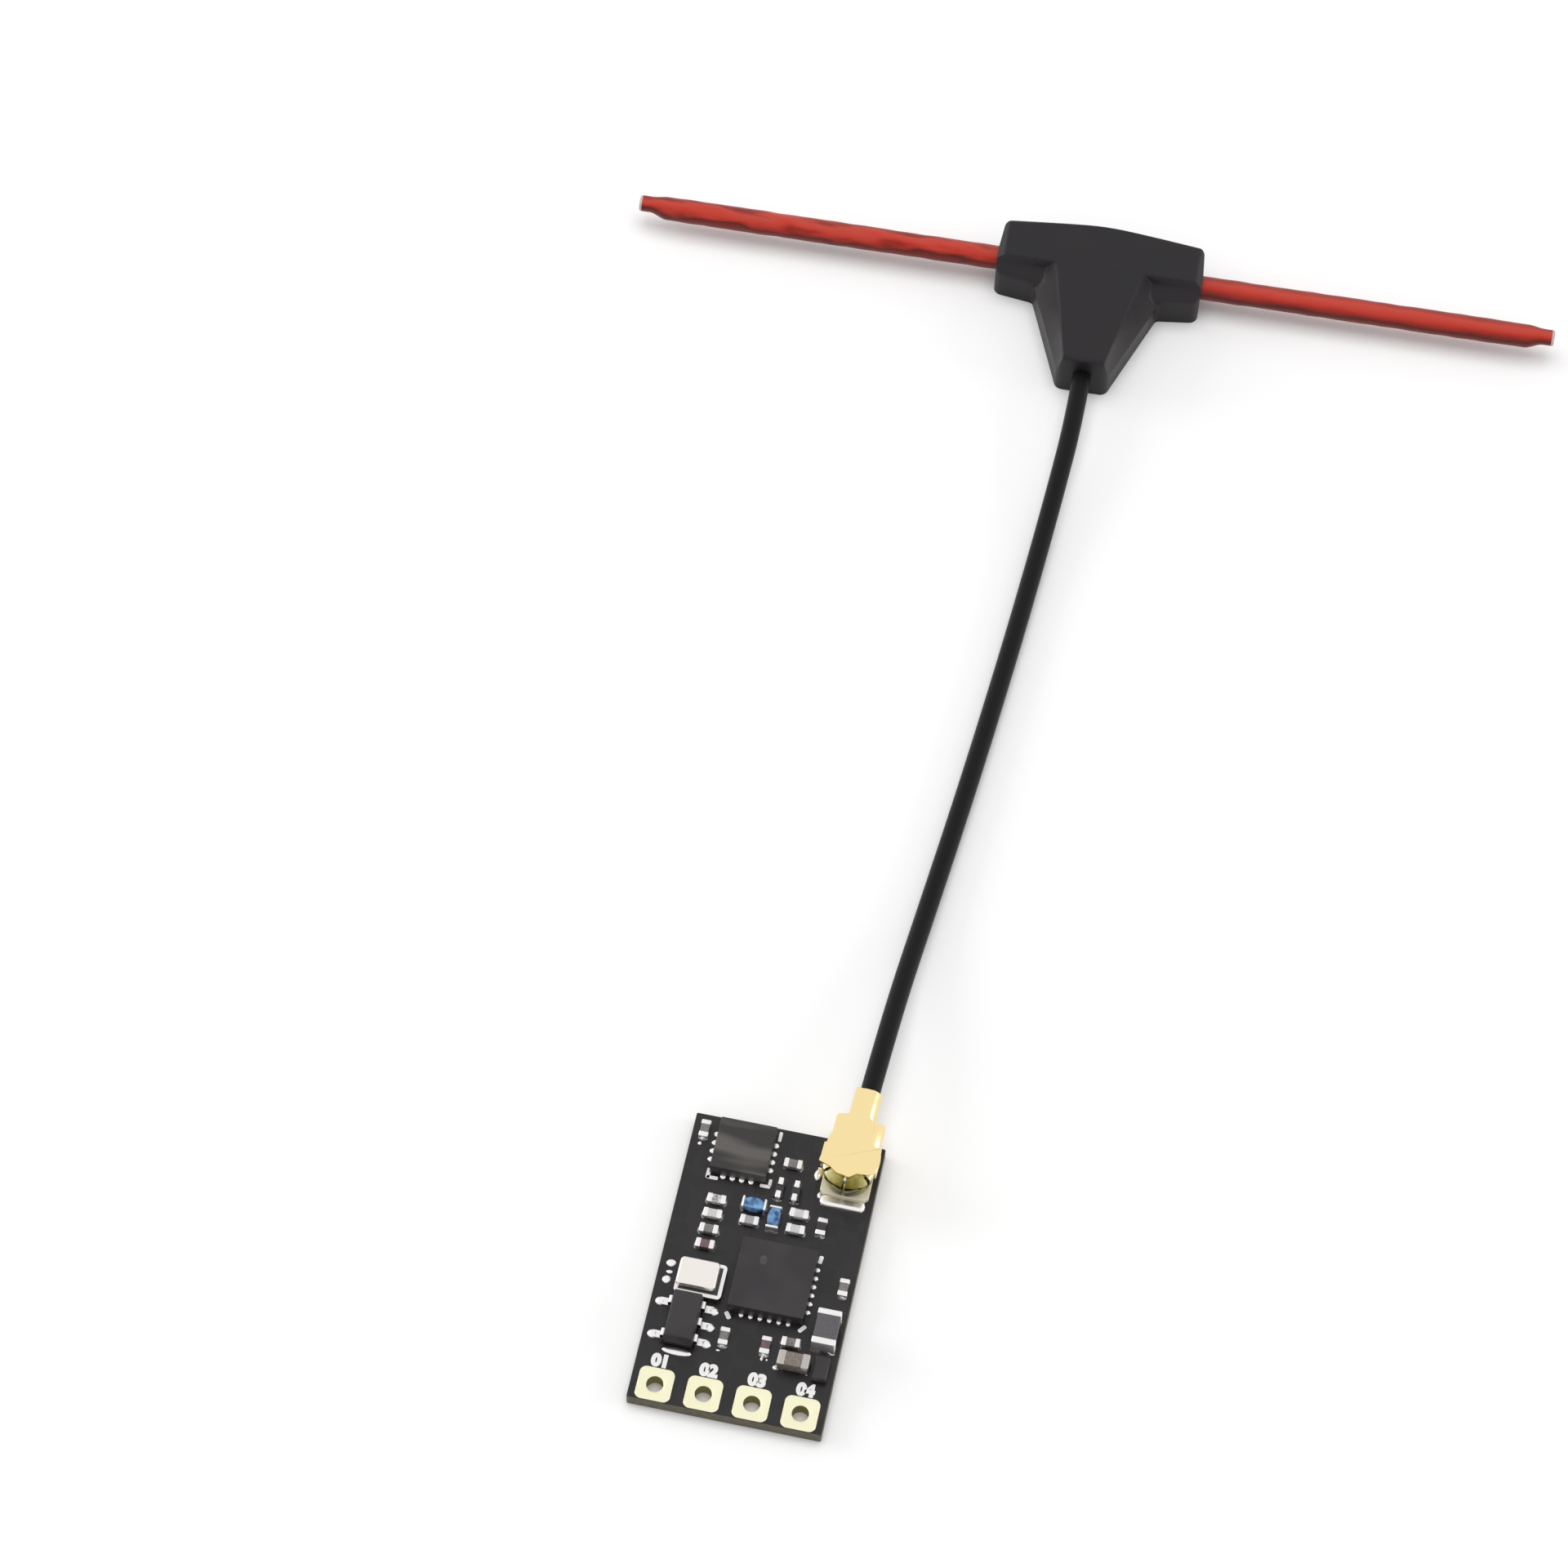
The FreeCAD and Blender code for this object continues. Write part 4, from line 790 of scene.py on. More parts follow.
# %% Lay the print round the chips
chip_low, chip_high = box_mm("transceiver_chip")
front_low, front_high = box_mm("amplifier_chip")
printed("print_transceiver_corners", [
    strip(chip_low[0] + 0.08, chip_low[1] - 0.26, 0.24, 0.46, 34),
    strip(chip_high[0], chip_low[1] - 0.2, 0.22, 0.5, -38),
    strip(chip_high[0] + 0.14, chip_high[1] - 0.12, 0.22, 0.46, -6)])
printed("print_amplifier_corners", [
    strip(front_low[0] - 0.05, front_low[1] - 0.06, 0.22, 0.6),
    strip(front_low[0] + 0.2, front_low[1] - 0.28, 0.62, 0.2),
    strip(front_high[0] + 0.24, front_low[1] + 0.08, 0.18, 0.4),
    strip(front_high[0] + 0.02, front_low[1] - 0.18, 0.56, 0.2),
    strip(front_high[0] + 0.21, front_high[1] - 0.16, 0.18, 0.58),
    strip(front_low[0] + 0.48, front_high[1], 0.1, 0.34, -38)])

# %% Numbers over the wire holes
for number, pad in enumerate(pads, start=1):
    pad_low, pad_high = box_mm(pad)
    printed_number("%02d" % number, (pad_low[0] + pad_high[0]) / 2,
                   pad_high[1] + NUMBER_OFF, NUMBER_TALL)


# %% [markdown]
# ## Wire holes
# Each is one plated skin: a square land on both faces and a barrel between them. The skin
# starts at the back land's bore, runs out over the land's round edge, and the top land is
# the same seen from above. A loop is a square with arc corners outside and a circle inside,
# so the loops morph from one to the other across the land.

# %% Plated lands
PAD_BORE, PAD_CORNER, PAD_SKIN = 0.45, 0.35, 0.04


def plated_hole(low, high):
    """Loops from the bore's foot, out across the back land, up its edge, and back over the
    top land into the bore: a closed ring in section."""
    centre, half = (low + high) / 2, (high[0] - low[0]) / 2
    steps = 13
    angle = np.radians(np.arange(0, 360, 90)[:, None] + np.linspace(0, 90, steps)).ravel()
    circle = np.stack([np.cos(angle), np.sin(angle)], -1)
    square = rounded_loop(half, half, PAD_CORNER, steps)[0]
    skin = PAD_SKIN * 0.8
    rows = [(circle * PAD_BORE, 0.0), (square, 0.0), (square, PAD_SKIN),
            (circle * (PAD_BORE + 0.05), PAD_SKIN),
            (circle * (PAD_BORE + 0.05), BOARD_TOP), (square, BOARD_TOP),
            (square, high[2] - skin * 0.5), (square * 0.985, high[2]),
            (circle * (PAD_BORE + 0.06), high[2]), (circle * PAD_BORE, high[2] - skin)]
    loops, heights = zip(*rows)
    return lifted(np.stack(loops) + centre[:2], heights)


# The bore's wall takes the darker gold, painted shade inside the hole.
for pad in pads:
    make_piece("plated_" + pad, plated_hole(*box_mm(pad)), [PAD_GOLD, SHADED_BARREL_GOLD],
               replaces=pad, ring=True, band=[0] * 9 + [1])


# %% [markdown]
# ## Chips
# A two-ended chip is dipped in tin at both ends, so its caps stand a hair proud of the
# ceramic. Its loops stand upright and run along it: round end, cap, small step, body, step,
# cap, round end. Which faces are tin follows from the row.

# %% Two-ended chips
def end_capped(node, band, step, body, bulge=0.0, cap=TIN):
    """Upright loops along the chip's long side. band is the cap's length, step how far the
    body sits in, and bulge lets a wound body swell again at its middle."""
    low, high = box_mm(node)
    size = high - low
    along = int(size[1] > size[0])
    length, width, height = size[along], size[1 - along], size[2]
    rise, inset = quarter(min(0.06, step + 0.04), 4)
    middle = np.linspace(0, 1, 7)
    swell = step - bulge * np.sin(math.pi * middle)
    place = np.concatenate([rise[-1] - rise[::-1], [band, band + 0.01],
                            band + 0.01 + middle * (length - 2 * band - 0.02),
                            [length - band - 0.01, length - band],
                            length - rise[-1] + rise])
    inward = np.concatenate([inset[::-1], [0, step], swell, [step, 0], inset])
    loop = rounded_loop(width / 2 - inward, height / 2 - inward, 0.05, 4)
    grid = np.empty((*loop.shape[:2], 3))
    grid[..., along] = (place - length / 2)[:, None] + (low + high)[along] / 2
    grid[..., 1 - along] = loop[..., 0] + (low + high)[1 - along] / 2
    grid[..., 2] = loop[..., 1] + low[2] + height / 2
    caps = len(rise) + 1
    band_rows = np.ones(len(place) - 1, int)
    band_rows[:caps] = band_rows[-caps:] = 0
    return make_piece(node + "_body", grid, [cap, body], replaces=node, band=band_rows)


CHIP_FINISH = (
    (GREY_CERAMIC, ("corner_capacitor", "filter_capacitor_1", "edge_capacitor",
                    "supply_capacitor_1", "side_capacitor_2")),
    (LIGHT_CERAMIC, ("filter_capacitor_2",)),
    (PALE_CERAMIC, ("filter_capacitor_3", "filter_capacitor_4", "side_capacitor_1")),
    (SPECKLED_GLAZE, ("side_resistor_1",)),
    (RESISTOR_GLASS, ("bias_resistor",)),
    (BROWN_CERAMIC, ("supply_capacitor_3",)),
    (FERRITE, ("ferrite_bead", "supply_capacitor_2")),
)
CAP_LONG, CAP_STEP = 0.26, 0.02
for ceramic, nodes in CHIP_FINISH:
    for node in nodes:
        end_capped(node, CAP_LONG, CAP_STEP, ceramic)
DARK_ENDED = ("antenna_resistor_1", "antenna_resistor_2")
for node in DARK_ENDED:
    end_capped(node, CAP_LONG, CAP_STEP, RESISTOR_GLASS, cap=RESISTOR_GLASS)
end_capped("supply_capacitor_4", 0.38, 0.025, BROWN_CERAMIC, cap=DULL_TIN)
end_capped("reservoir_capacitor", 0.32, 0.025, SLATE_CERAMIC)
# Their blue coat carries painted highlights.
for node in ("wound_inductor_1", "wound_inductor_2"):
    end_capped(node, 0.12, 0.1, BLUE_COAT_PAINTED_HIGHLIGHTS, bulge=0.1)

# %% [markdown]
# ## Square chips and the crystal
# The two chips without legs are sawn from a moulded sheet: sharp walls and a dull top, with
# a faint moulded spot on the larger one. The crystal sits in a black ceramic tub with a
# plated rim, and its lid is seam-welded on, a little off centre as the photograph shows.

# %% Sawn chips
for node, material in (("transceiver_chip", EPOXY), ("amplifier_chip", BANDED_EPOXY)):
    low, high = box_mm(node)
    make_piece(node + "_moulding", moulded(low, high, 0.05, 0.04), material, replaces=node)
low, high = box_mm("transceiver_chip")
mark = np.array([[low[0] + 1.3, high[1] - 1.15, high[2] - 0.002]])
make_piece("transceiver_mark", drops(mark, 0.2, 0.28, 0.008, 0.5), BANDED_EPOXY)

# %% Crystal
case_low, case_high = box_mm("crystal_case")
lid_low, lid_high = box_mm("crystal_lid")
RIM_WIDE, RIM_TALL, RIM_EDGE = 0.2, 0.03, 0.01
case = moulded(case_low, case_high - (0, 0, RIM_TALL), 0.21, 0.02)
centre, half = (case_low + case_high) / 2, (case_high - case_low) / 2
rim_inset = np.array([0, 0, RIM_EDGE, RIM_WIDE, RIM_WIDE])
rim_down = np.array([RIM_TALL, RIM_EDGE, 0, 0, RIM_TALL])
rim = lifted(rounded_loop(half[0] - rim_inset, half[1] - rim_inset, 0.22 - rim_inset)
             + centre[:2], case_high[2] - rim_down)
make_piece("crystal_tub", case, CERAMIC_CASE, replaces="crystal_case")
make_piece("crystal_rim", rim, TIN, ring=True)
make_piece("crystal_welded_lid", moulded(lid_low, lid_high, 0.22, 0.12, steps=7), LID,
           replaces="crystal_lid")

# %% [markdown]
# ## Regulator and diode
# Both are transfer-moulded with walls that lean in from the parting line, so that they slip
# out of the mould. The regulator's five legs are bent from one sheet.

# %% Moulded packages and bent legs
def carry_over(material, *nodes):
    """Give CAD nodes that keep their own shape their finish."""
    for node in nodes:
        dress(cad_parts[node].data, material)
        print(node, "keeps its shape in", material.name)


def parted(node, parting, draft, corner=0.06, edge=0.05):
    """Two drafted halves that meet at the parting height: insets grow away from it."""
    low, high = box_mm(node)
    rise, inset = quarter(edge)
    level = low[2] + parting
    height = np.concatenate([[low[2], level, level], high[2] - edge + rise, [high[2]]])
    lean = np.tan(math.radians(draft)) * np.abs(height - level)
    inward = lean + np.concatenate([[0, 0, 0], inset, [inset[-1] + 0.02]])
    half, centre = (high - low) / 2, (low + high) / 2
    loop = rounded_loop(half[0] - inward, half[1] - inward,
                        np.maximum(corner - inward * 0.3, 0.03)) + centre[:2]
    return make_piece(node + "_moulding", lifted(loop, height), EPOXY, replaces=node)


parted("regulator_case", 0.5, 8.0)
parted("protection_diode", 0.25, 7.0)
legs_low, legs_high = box_mm("regulator_legs")
# The legs' tin carries painted shade on the slope between foot and shoulder.
carry_over(painted_shade_leg_tin(legs_low[2], legs_high[2]), "regulator_legs")

# %% [markdown]
# ## Solder
# Solder wets the pads and the caps and pulls itself into drops and small tents. Each group
# below is one mesh of many equal grids, placed from the chips' own boxes.

# %% Drops round the square chips
PIN_PITCH, PIN_OUT = 0.5, 0.08


def pin_drops(chip, count, half_long, half_wide, rise, left=1.0):
    """Drops at the pins of a square chip, side by side: right, left, back and front. left
    scales those of the left side, which draw back under the chip where little solder is."""
    low, high = box_mm(chip)
    centre, half = (low + high) / 2, (high - low) / 2
    along = (np.arange(count) - (count - 1) / 2) * PIN_PITCH
    out = np.full(count, half[0] + PIN_OUT)
    flat = np.zeros(count) + BOARD_TOP - centre[2]
    right = np.stack([out, along, flat], -1)
    tucked = np.stack([-out + PIN_OUT * (1 - left), along, flat], -1)
    sides = [right, tucked, right[:, [1, 0, 2]], right[:, [1, 0, 2]] * (1, -1, 1)]
    wide = [half_long, half_long * left, half_wide, half_wide]
    deep = [half_wide, half_wide * left, half_long, half_long]
    return drops(np.concatenate(sides) + centre, np.repeat(wide, count),
                 np.repeat(deep, count), rise, 0.3)


make_piece("transceiver_pin_solder",
           pin_drops("transceiver_chip", 6, 0.17, 0.14, 0.11, left=0.3), SOLDER,
           replaces="transceiver_solder")
make_piece("amplifier_pin_solder", pin_drops("amplifier_chip", 4, 0.2, 0.16, 0.12),
           SOLDER, replaces="amplifier_solder")

# %% Tents at the ends of the small chips
two_ended = [node for ceramic, nodes in CHIP_FINISH for node in nodes] + [*DARK_ENDED,
    "supply_capacitor_4", "reservoir_capacitor", "wound_inductor_1", "wound_inductor_2"]
lows, highs = (np.array([box_mm(node)[i] for node in two_ended]) for i in (0, 1))
spans = highs - lows
lies_along_y = spans[:, 1] > spans[:, 0]
axis = np.where(lies_along_y[:, None], (0, 1, 0), (1, 0, 0))
across = np.where(lies_along_y, spans[:, 0], spans[:, 1])
reach = np.where(lies_along_y, spans[:, 1], spans[:, 0]) / 2
middle = (lows + highs) / 2 * (1, 1, 0) + (0, 0, BOARD_TOP)
to_end = axis * (reach - 0.06)[:, None]
ends = np.concatenate([middle + to_end, middle - to_end])
long_half, wide_half = 0.16, np.tile(across * 0.52, 2)
along_y = np.tile(lies_along_y, 2)
tall = np.tile(np.minimum(spans[:, 2] * 0.7, 0.34), 2)
make_piece("chip_end_solder", drops(ends, np.where(along_y, wide_half, long_half),
                                    np.where(along_y, long_half, wide_half), tall, 1.1),
           SOLDER, replaces="chip_solder")

# %% Blocks of solder over the ends of the two dark resistors
blocks = []
for node in DARK_ENDED:
    low, high = box_mm(node)
    x = (low[0] + high[0]) / 2
    for y in (low[1] + 0.2, high[1] - 0.02):
        blocks.append(moulded(np.array([x - 0.2, y - 0.26, BOARD_TOP]),
                              np.array([x + 0.2, y + 0.26, BOARD_TOP + 0.42]), 0.1, 0.06, 0.06))
make_piece("resistor_end_solder", blocks, SOLDER)

# %% [markdown]
# The bare lands round the crystal and the regulator carry loose drops of several sizes. They are
# chosen from the photograph, and they stand on the board as their nodes do.

# %% Bare drops and the regulator's toes
BARE_DROPS = (
    (-4.48, -0.53, 0.28, 0.22), (-4.45, -1.05, 0.2, 0.11), (-4.52, -1.5, 0.25, 0.23),
    (-3.13, -5.4, 0.78, 0.22), (2.0, -5.2, 0.14, 0.14), (-4.55, 6.62, 0.12, 0.11),
    (2.22, 4.98, 0.13, 0.19), (-1.08, -4.87, 0.11, 0.06), (1.23, -4.87, 0.09, 0.13),
    (1.5, -4.87, 0.06, 0.07), (-1.9, -1.9, 0.14, 0.1),
)
bare = np.array(BARE_DROPS)
make_piece("bare_solder_drops", drops(
    np.column_stack([bare[:, :2], np.full(len(bare), BOARD_TOP)]), bare[:, 2], bare[:, 3],
    np.minimum(bare[:, 3] * 0.9, 0.12)), SOLDER, replaces="solder_beads")
leg_rows = (legs_low[1] + legs_high[1]) / 2 + np.array([-0.95, 0.0, 0.95])
toes = np.array([(legs_high[0], y, BOARD_TOP) for y in leg_rows]
                + [(legs_low[0], y, BOARD_TOP) for y in leg_rows[[0, 2]]])
make_piece("regulator_toe_solder", drops(toes, 0.3, 0.25, 0.18, 0.4), SOLDER)


# %% [markdown]
# ## Coaxial socket
# A ring stands in an ivory base and is soldered down by two wide tabs. Only the base's front
# corners, the front tab and its solder show once the plug is on.

# %% Socket
carry_over(PLUG_GOLD, "socket_shell", "socket_pin")
base_outline = rounded_polygon([
    (1.3, -1.1), (1.3, 1.1), (1.1, 1.3), (-1.1, 1.3), (-1.3, 1.1), (-1.3, -1.1),
    (-1.1, -1.3), (1.1, -1.3)], 0.05, 3)
make_piece("socket_ivory_base", stamped(base_outline + SOCKET_PLACE, socket_low[2],
                                        socket_high[2], 0.03), IVORY, replaces="socket_base")
shell_low, shell_high = box_mm("socket_shell")
tab_x = SOCKET_PLACE[0]
tab_solder = [moulded(np.array([tab_x - 1.22, y - 0.32, BOARD_TOP]),
                      np.array([tab_x + 1.22, y + 0.32, BOARD_TOP + 0.3]), 0.26, 0.18)
              for y in (shell_low[1] + 0.3, shell_high[1] - 0.3)]
tab_solder.append(drops([(socket_low[0] - 0.3, SOCKET_PLACE[1] - 0.2, BOARD_TOP)], 0.2, 0.34,
                        0.22, 0.3))
make_piece("socket_tab_solder", tab_solder, SOLDER)


# %% [markdown]
# ## Push-on plug
# The plug is stamped from thin brass and folded: a flat cover with two ears, a skirt of six spring
# fingers bent down round the socket, two side wings, and a barrel crimped over the lead. Gold
# plate carries reflections of the black board up its skirt, and a dark olive painted reflection at
# the skirt's front adds to them.

# %% Plug sizes, above the board
COVER_LOW, COVER_TOP = 1.67, 1.87
SKIRT_FOOT, SKIRT_LOW, SKIRT_OUT, SKIRT_IN, LIP_IN = 0.38, 1.26, 1.42, 1.03, 0.7
EAR_HALF, NECK_HALF, CRIMP_HALF = 1.55, 1.3, 0.71
EAR_FRONT, EAR_BACK, NECK_BACK, MOUTH = -0.28, 1.45, 2.65, 4.45
CRIMP_AXIS = 1.2
FINGERS, FINGER_GAP = 6, 0.2
FOLD, FOLD_DROP, CREASE = 0.48, 0.3, 1.2


# %% The skirt's spring fingers
def fingers():
    """Six grids round the plug. Across a finger runs the angle; its section is a thin wall
    that leans out from its foot and curls in over the top, so that together they make a bowl."""
    turn = np.radians(np.linspace(0, 90, 7))
    curl = 0.34
    lean = np.linspace(0, 1, 6)[:-1]
    outer = np.concatenate([
        np.stack([SKIRT_LOW + (SKIRT_OUT - SKIRT_LOW) * lean ** 0.8,
                  SKIRT_FOOT + (COVER_LOW - curl - SKIRT_FOOT) * lean], -1),
        np.stack([SKIRT_OUT - curl * (1 - np.cos(turn)),
                  COVER_LOW - curl + 0.1 + (curl - 0.076) * np.sin(turn)], -1)])
    inner = np.array([[LIP_IN, COVER_LOW + 0.024], [LIP_IN, COVER_LOW + 0.004],
                      [SKIRT_IN, COVER_LOW + 0.004], [SKIRT_OUT - 0.14, COVER_LOW - curl],
                      [SKIRT_IN + 0.08, SKIRT_FOOT]])
    section = np.concatenate([outer, inner])
    share = 1 / FINGERS
    gap = FINGER_GAP / (2 * math.pi * SKIRT_OUT)
    start = np.arange(FINGERS) * share + gap / 2 + 0.25
    across = np.linspace(0, share - gap, 12)
    angle = 2 * math.pi * (start[:, None] + across[None])
    x = np.cos(angle)[:, :, None] * section[None, None, :, 0]
    y = np.sin(angle)[:, :, None] * section[None, None, :, 0]
    return np.stack([x, y, np.broadcast_to(section[:, 1], x.shape)], -1)


# %% The cover's outline
def cover_outline():
    """The cover seen from above, anticlockwise from its front tongue."""
    corners = [
        (0.18, -0.86, 0.1), (0.52, -0.56, 0.1), (1.0, -0.5, 0.1),
        (EAR_HALF - 0.06, EAR_FRONT, 0.1), (EAR_HALF, 0.1, 0.2),
        (EAR_HALF - 0.1, CREASE, 0.05), (NECK_HALF - FOLD, CREASE + 0.06, 0.05),
        (NECK_HALF - FOLD - 0.04, 2.4, 0.2), (CRIMP_HALF - FOLD + 0.02, 3.1, 0.3),
        (CRIMP_HALF - FOLD, MOUTH, 0.06), (-CRIMP_HALF, MOUTH, 0.06),
        (-CRIMP_HALF, NECK_BACK + 0.14, 0.1), (-NECK_HALF, NECK_BACK, 0.16),
        (-NECK_HALF, EAR_BACK + 0.06, 0.08), (-NECK_HALF - 0.08, EAR_BACK - 0.1, 0.08),
        (-EAR_HALF - 0.04, EAR_FRONT, 0.1), (-0.94, EAR_FRONT - 0.2, 0.1), (-0.5, -0.76, 0.1)]
    outline = np.array(corners)
    return rounded_polygon(outline[:, :2], outline[:, 2], 6)


# %% Crimp barrel, side plates and the long fold
def barrel():
    """Loops along the crimp: a round tube whose top is pressed flat, flush with the cover."""
    station = np.array([NECK_BACK - 0.1, NECK_BACK, MOUTH - 0.5, MOUTH - 0.04, MOUTH, MOUTH,
                        MOUTH - 0.3])
    radius = CRIMP_HALF * np.array([0.94, 1.0, 1.0, 1.03, 1.0, 0.8, 0.78])
    angle = np.linspace(0, 2 * math.pi, 40, endpoint=False)
    x = radius[:, None] * np.cos(angle)
    z = CRIMP_AXIS + np.minimum(radius[:, None] * np.sin(angle), COVER_TOP - 0.01 - CRIMP_AXIS)
    return np.stack([x, np.broadcast_to(station[:, None], x.shape), z], -1)


def plate(x_low, x_high, y_low, y_high, low, high, corner=0.08):
    """A thin upright plate between limits, as a stamped outline."""
    outline = rounded_loop((x_high - x_low) / 2, (y_high - y_low) / 2,
                           min(corner, (x_high - x_low) * 0.45))[0]
    return stamped(outline + ((x_low + x_high) / 2, (y_low + y_high) / 2), low, high)


def folded(half, y_low, y_high, depth):
    """The right side of the stamping: from the cover's edge the sheet slants down over FOLD
    and then hangs as a wall. The section runs round the sheet, and loops follow Y."""
    outer = [(half - FOLD - 0.04, COVER_TOP - 0.005), (half - FOLD + 0.03, COVER_TOP - 0.015),
             (half - 0.05, COVER_TOP - FOLD_DROP + 0.03), (half, COVER_TOP - FOLD_DROP - 0.06),
             (half, COVER_TOP - depth)]
    inner = [(half - 0.14, COVER_TOP - depth), (half - 0.14, COVER_TOP - FOLD_DROP - 0.1),
             (half - FOLD - 0.04, COVER_TOP - 0.15)]
    section = np.array(outer + inner)
    middle = section.mean(0)
    station = np.array([y_low, y_low + 0.03, y_high - 0.03, y_high])
    shrink = np.array([0.96, 1, 1, 0.96])[:, None, None]
    loop = middle + (section - middle) * shrink
    return np.stack([loop[..., 0], np.broadcast_to(station[:, None], loop.shape[:2]),
                     loop[..., 1]], -1)


# %% Join the stampings
cover = stamped(cover_outline(), COVER_LOW, COVER_TOP, 0.045)
sides = [folded(NECK_HALF, CREASE, NECK_BACK, 0.98)]
for low, high, front, back, depth in (
        (-EAR_HALF, 0.15 - EAR_HALF, EAR_FRONT + 0.1, 0.9, 0.66),
        (EAR_HALF - 0.2, EAR_HALF - 0.05, EAR_FRONT + 0.1, 0.9, 0.66),
        (-NECK_HALF, 0.15 - NECK_HALF, EAR_BACK + 0.1, NECK_BACK - 0.06, 0.8)):
    sides.append(plate(low, high, front, back, COVER_LOW - depth, COVER_TOP - 0.08))
plug = [to_plug(g) for g in [cover, barrel()] + sides]
make_piece("stamped_plug", plug, PLUG_GOLD, replaces="plug_shell", smooth=30)
make_piece("plug_spring_fingers", to_plug(fingers()), SKIRT_GOLD, smooth=40)

# %% [markdown]
# Under the cover a white insulator holds the contact, and the lead's braid, core and wire
# end one after another. The same three end again in the antenna, where the wire and the
# braid are soldered to the two brass elements. Nobody sees them, so they keep their solids.

# %% Finishes of the hidden pieces
carry_over(WHITE_PLASTIC, "plug_insulator")
carry_over(PLUG_GOLD, "plug_contact")
carry_over(BRAID, "plug_braid", "antenna_braid")
carry_over(CORE_PLASTIC, "plug_core", "antenna_core")
carry_over(TIN, "plug_wire", "antenna_wire")
carry_over(BRASS, "element_left", "element_right")
carry_over(SOLDER, "joint_left", "joint_right")


# %% [markdown]
# ## Coaxial lead
# The lead is a fixed length of something springy: it leaves the plug straight, comes down to
# the table, lies there in one long bend, and rises a little into the antenna. A smooth
# spline follows the same chosen points as the solid tube.

# %% The lead's route
LEAD_ACROSS = 1.08
LEAD_GRIP, LEAD_SOCKET = 0.85, 1.5
STEM_END, HOUSING_TALL = -7.68, box_mm("antenna_housing")[1][2]
STRAIGHT_AT_PLUG, STRAIGHT_AT_STEM = 3.5, 4.5
leaving = to_plug([(0, MOUTH - LEAD_GRIP + run, CRIMP_AXIS) for run in (0, STRAIGHT_AT_PLUG)])
arriving = to_antenna([(0, STEM_END + LEAD_SOCKET - run, HOUSING_TALL / 2)
                       for run in (STRAIGHT_AT_STEM, 0)])
LEAD_ROUTE = (
    (4.02, 18.20, 1.24), (4.36, 22.90, 0.62), (5.02, 30.80, 0.55), (5.62, 39.50, 0.55),
    (6.02, 46.80, 0.60), (6.28, 52.10, 1.05),
)
route = np.vstack([leaving, LEAD_ROUTE, arriving])
print("route from", route[0].round(2), "to", route[-1].round(2))

# %% Lead
lead_curve = bpy.data.curves.new("coaxial_lead_line", "CURVE")
lead_curve.dimensions = "3D"
lead_curve.bevel_depth = LEAD_ACROSS / 2 * MM
lead_curve.bevel_resolution = 8
lead_curve.use_fill_caps = True
spline = lead_curve.splines.new("NURBS")
spline.points.add(len(route) - 1)
spline.points.foreach_set("co", np.column_stack([route * MM, np.ones(len(route))]).ravel())
spline.order_u = 3
spline.use_endpoint_u = True
spline.resolution_u = 16
lead_curve.materials.append(JACKET)
lead = placed("coaxial_lead_jacket", lead_curve)
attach(lead, "root")
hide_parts("coaxial_lead")


# %% [markdown]
# ## Antenna housing
# The T is moulded over the lead's end in one shot. Seen from above it can be drawn round one
# middle point, so its top is a grid: round the outline one way, in towards the middle the
# other. Each point's height comes from a few gentle planes, blended where they meet, which
# is how a mould's facets come out of soft plastic.

# %% Housing sizes, in the antenna's frame
BAR_HALF, BAR_LEAN, BAR_BACK, BAR_CROWN = 6.05, 0.15, 1.74, 0.6
LEDGE_FRONT, LEDGE_SLOPE, LEDGE_TALL, STEP_FRONT = -1.45, 0.33, 2.4, -0.93
LEDGE_FALL, PEAK_ROUND = 0.24, 1.2
STEM_HALF, STEM_END_HALF, STEM_TOP, STEM_END_TOP, WALL_TALL = 3.67, 1.45, 2.34, 1.2, 1.6


def blend_low(a, b, width):
    """The lower of two heights, blended over width: b + (a - b) h - width h (1 - h)."""
    share = np.clip(0.5 + 0.5 * (b - a) / width, 0, 1)
    return b * (1 - share) + a * share - width * share * (1 - share)


def rounded_edge(top, radius, distance):
    """Height over an edge of that radius, at a distance inside it: a quarter circle."""
    inside = np.clip(distance / radius, 0, 1)
    return top - radius + radius * np.sqrt(1 - (1 - inside) ** 2)


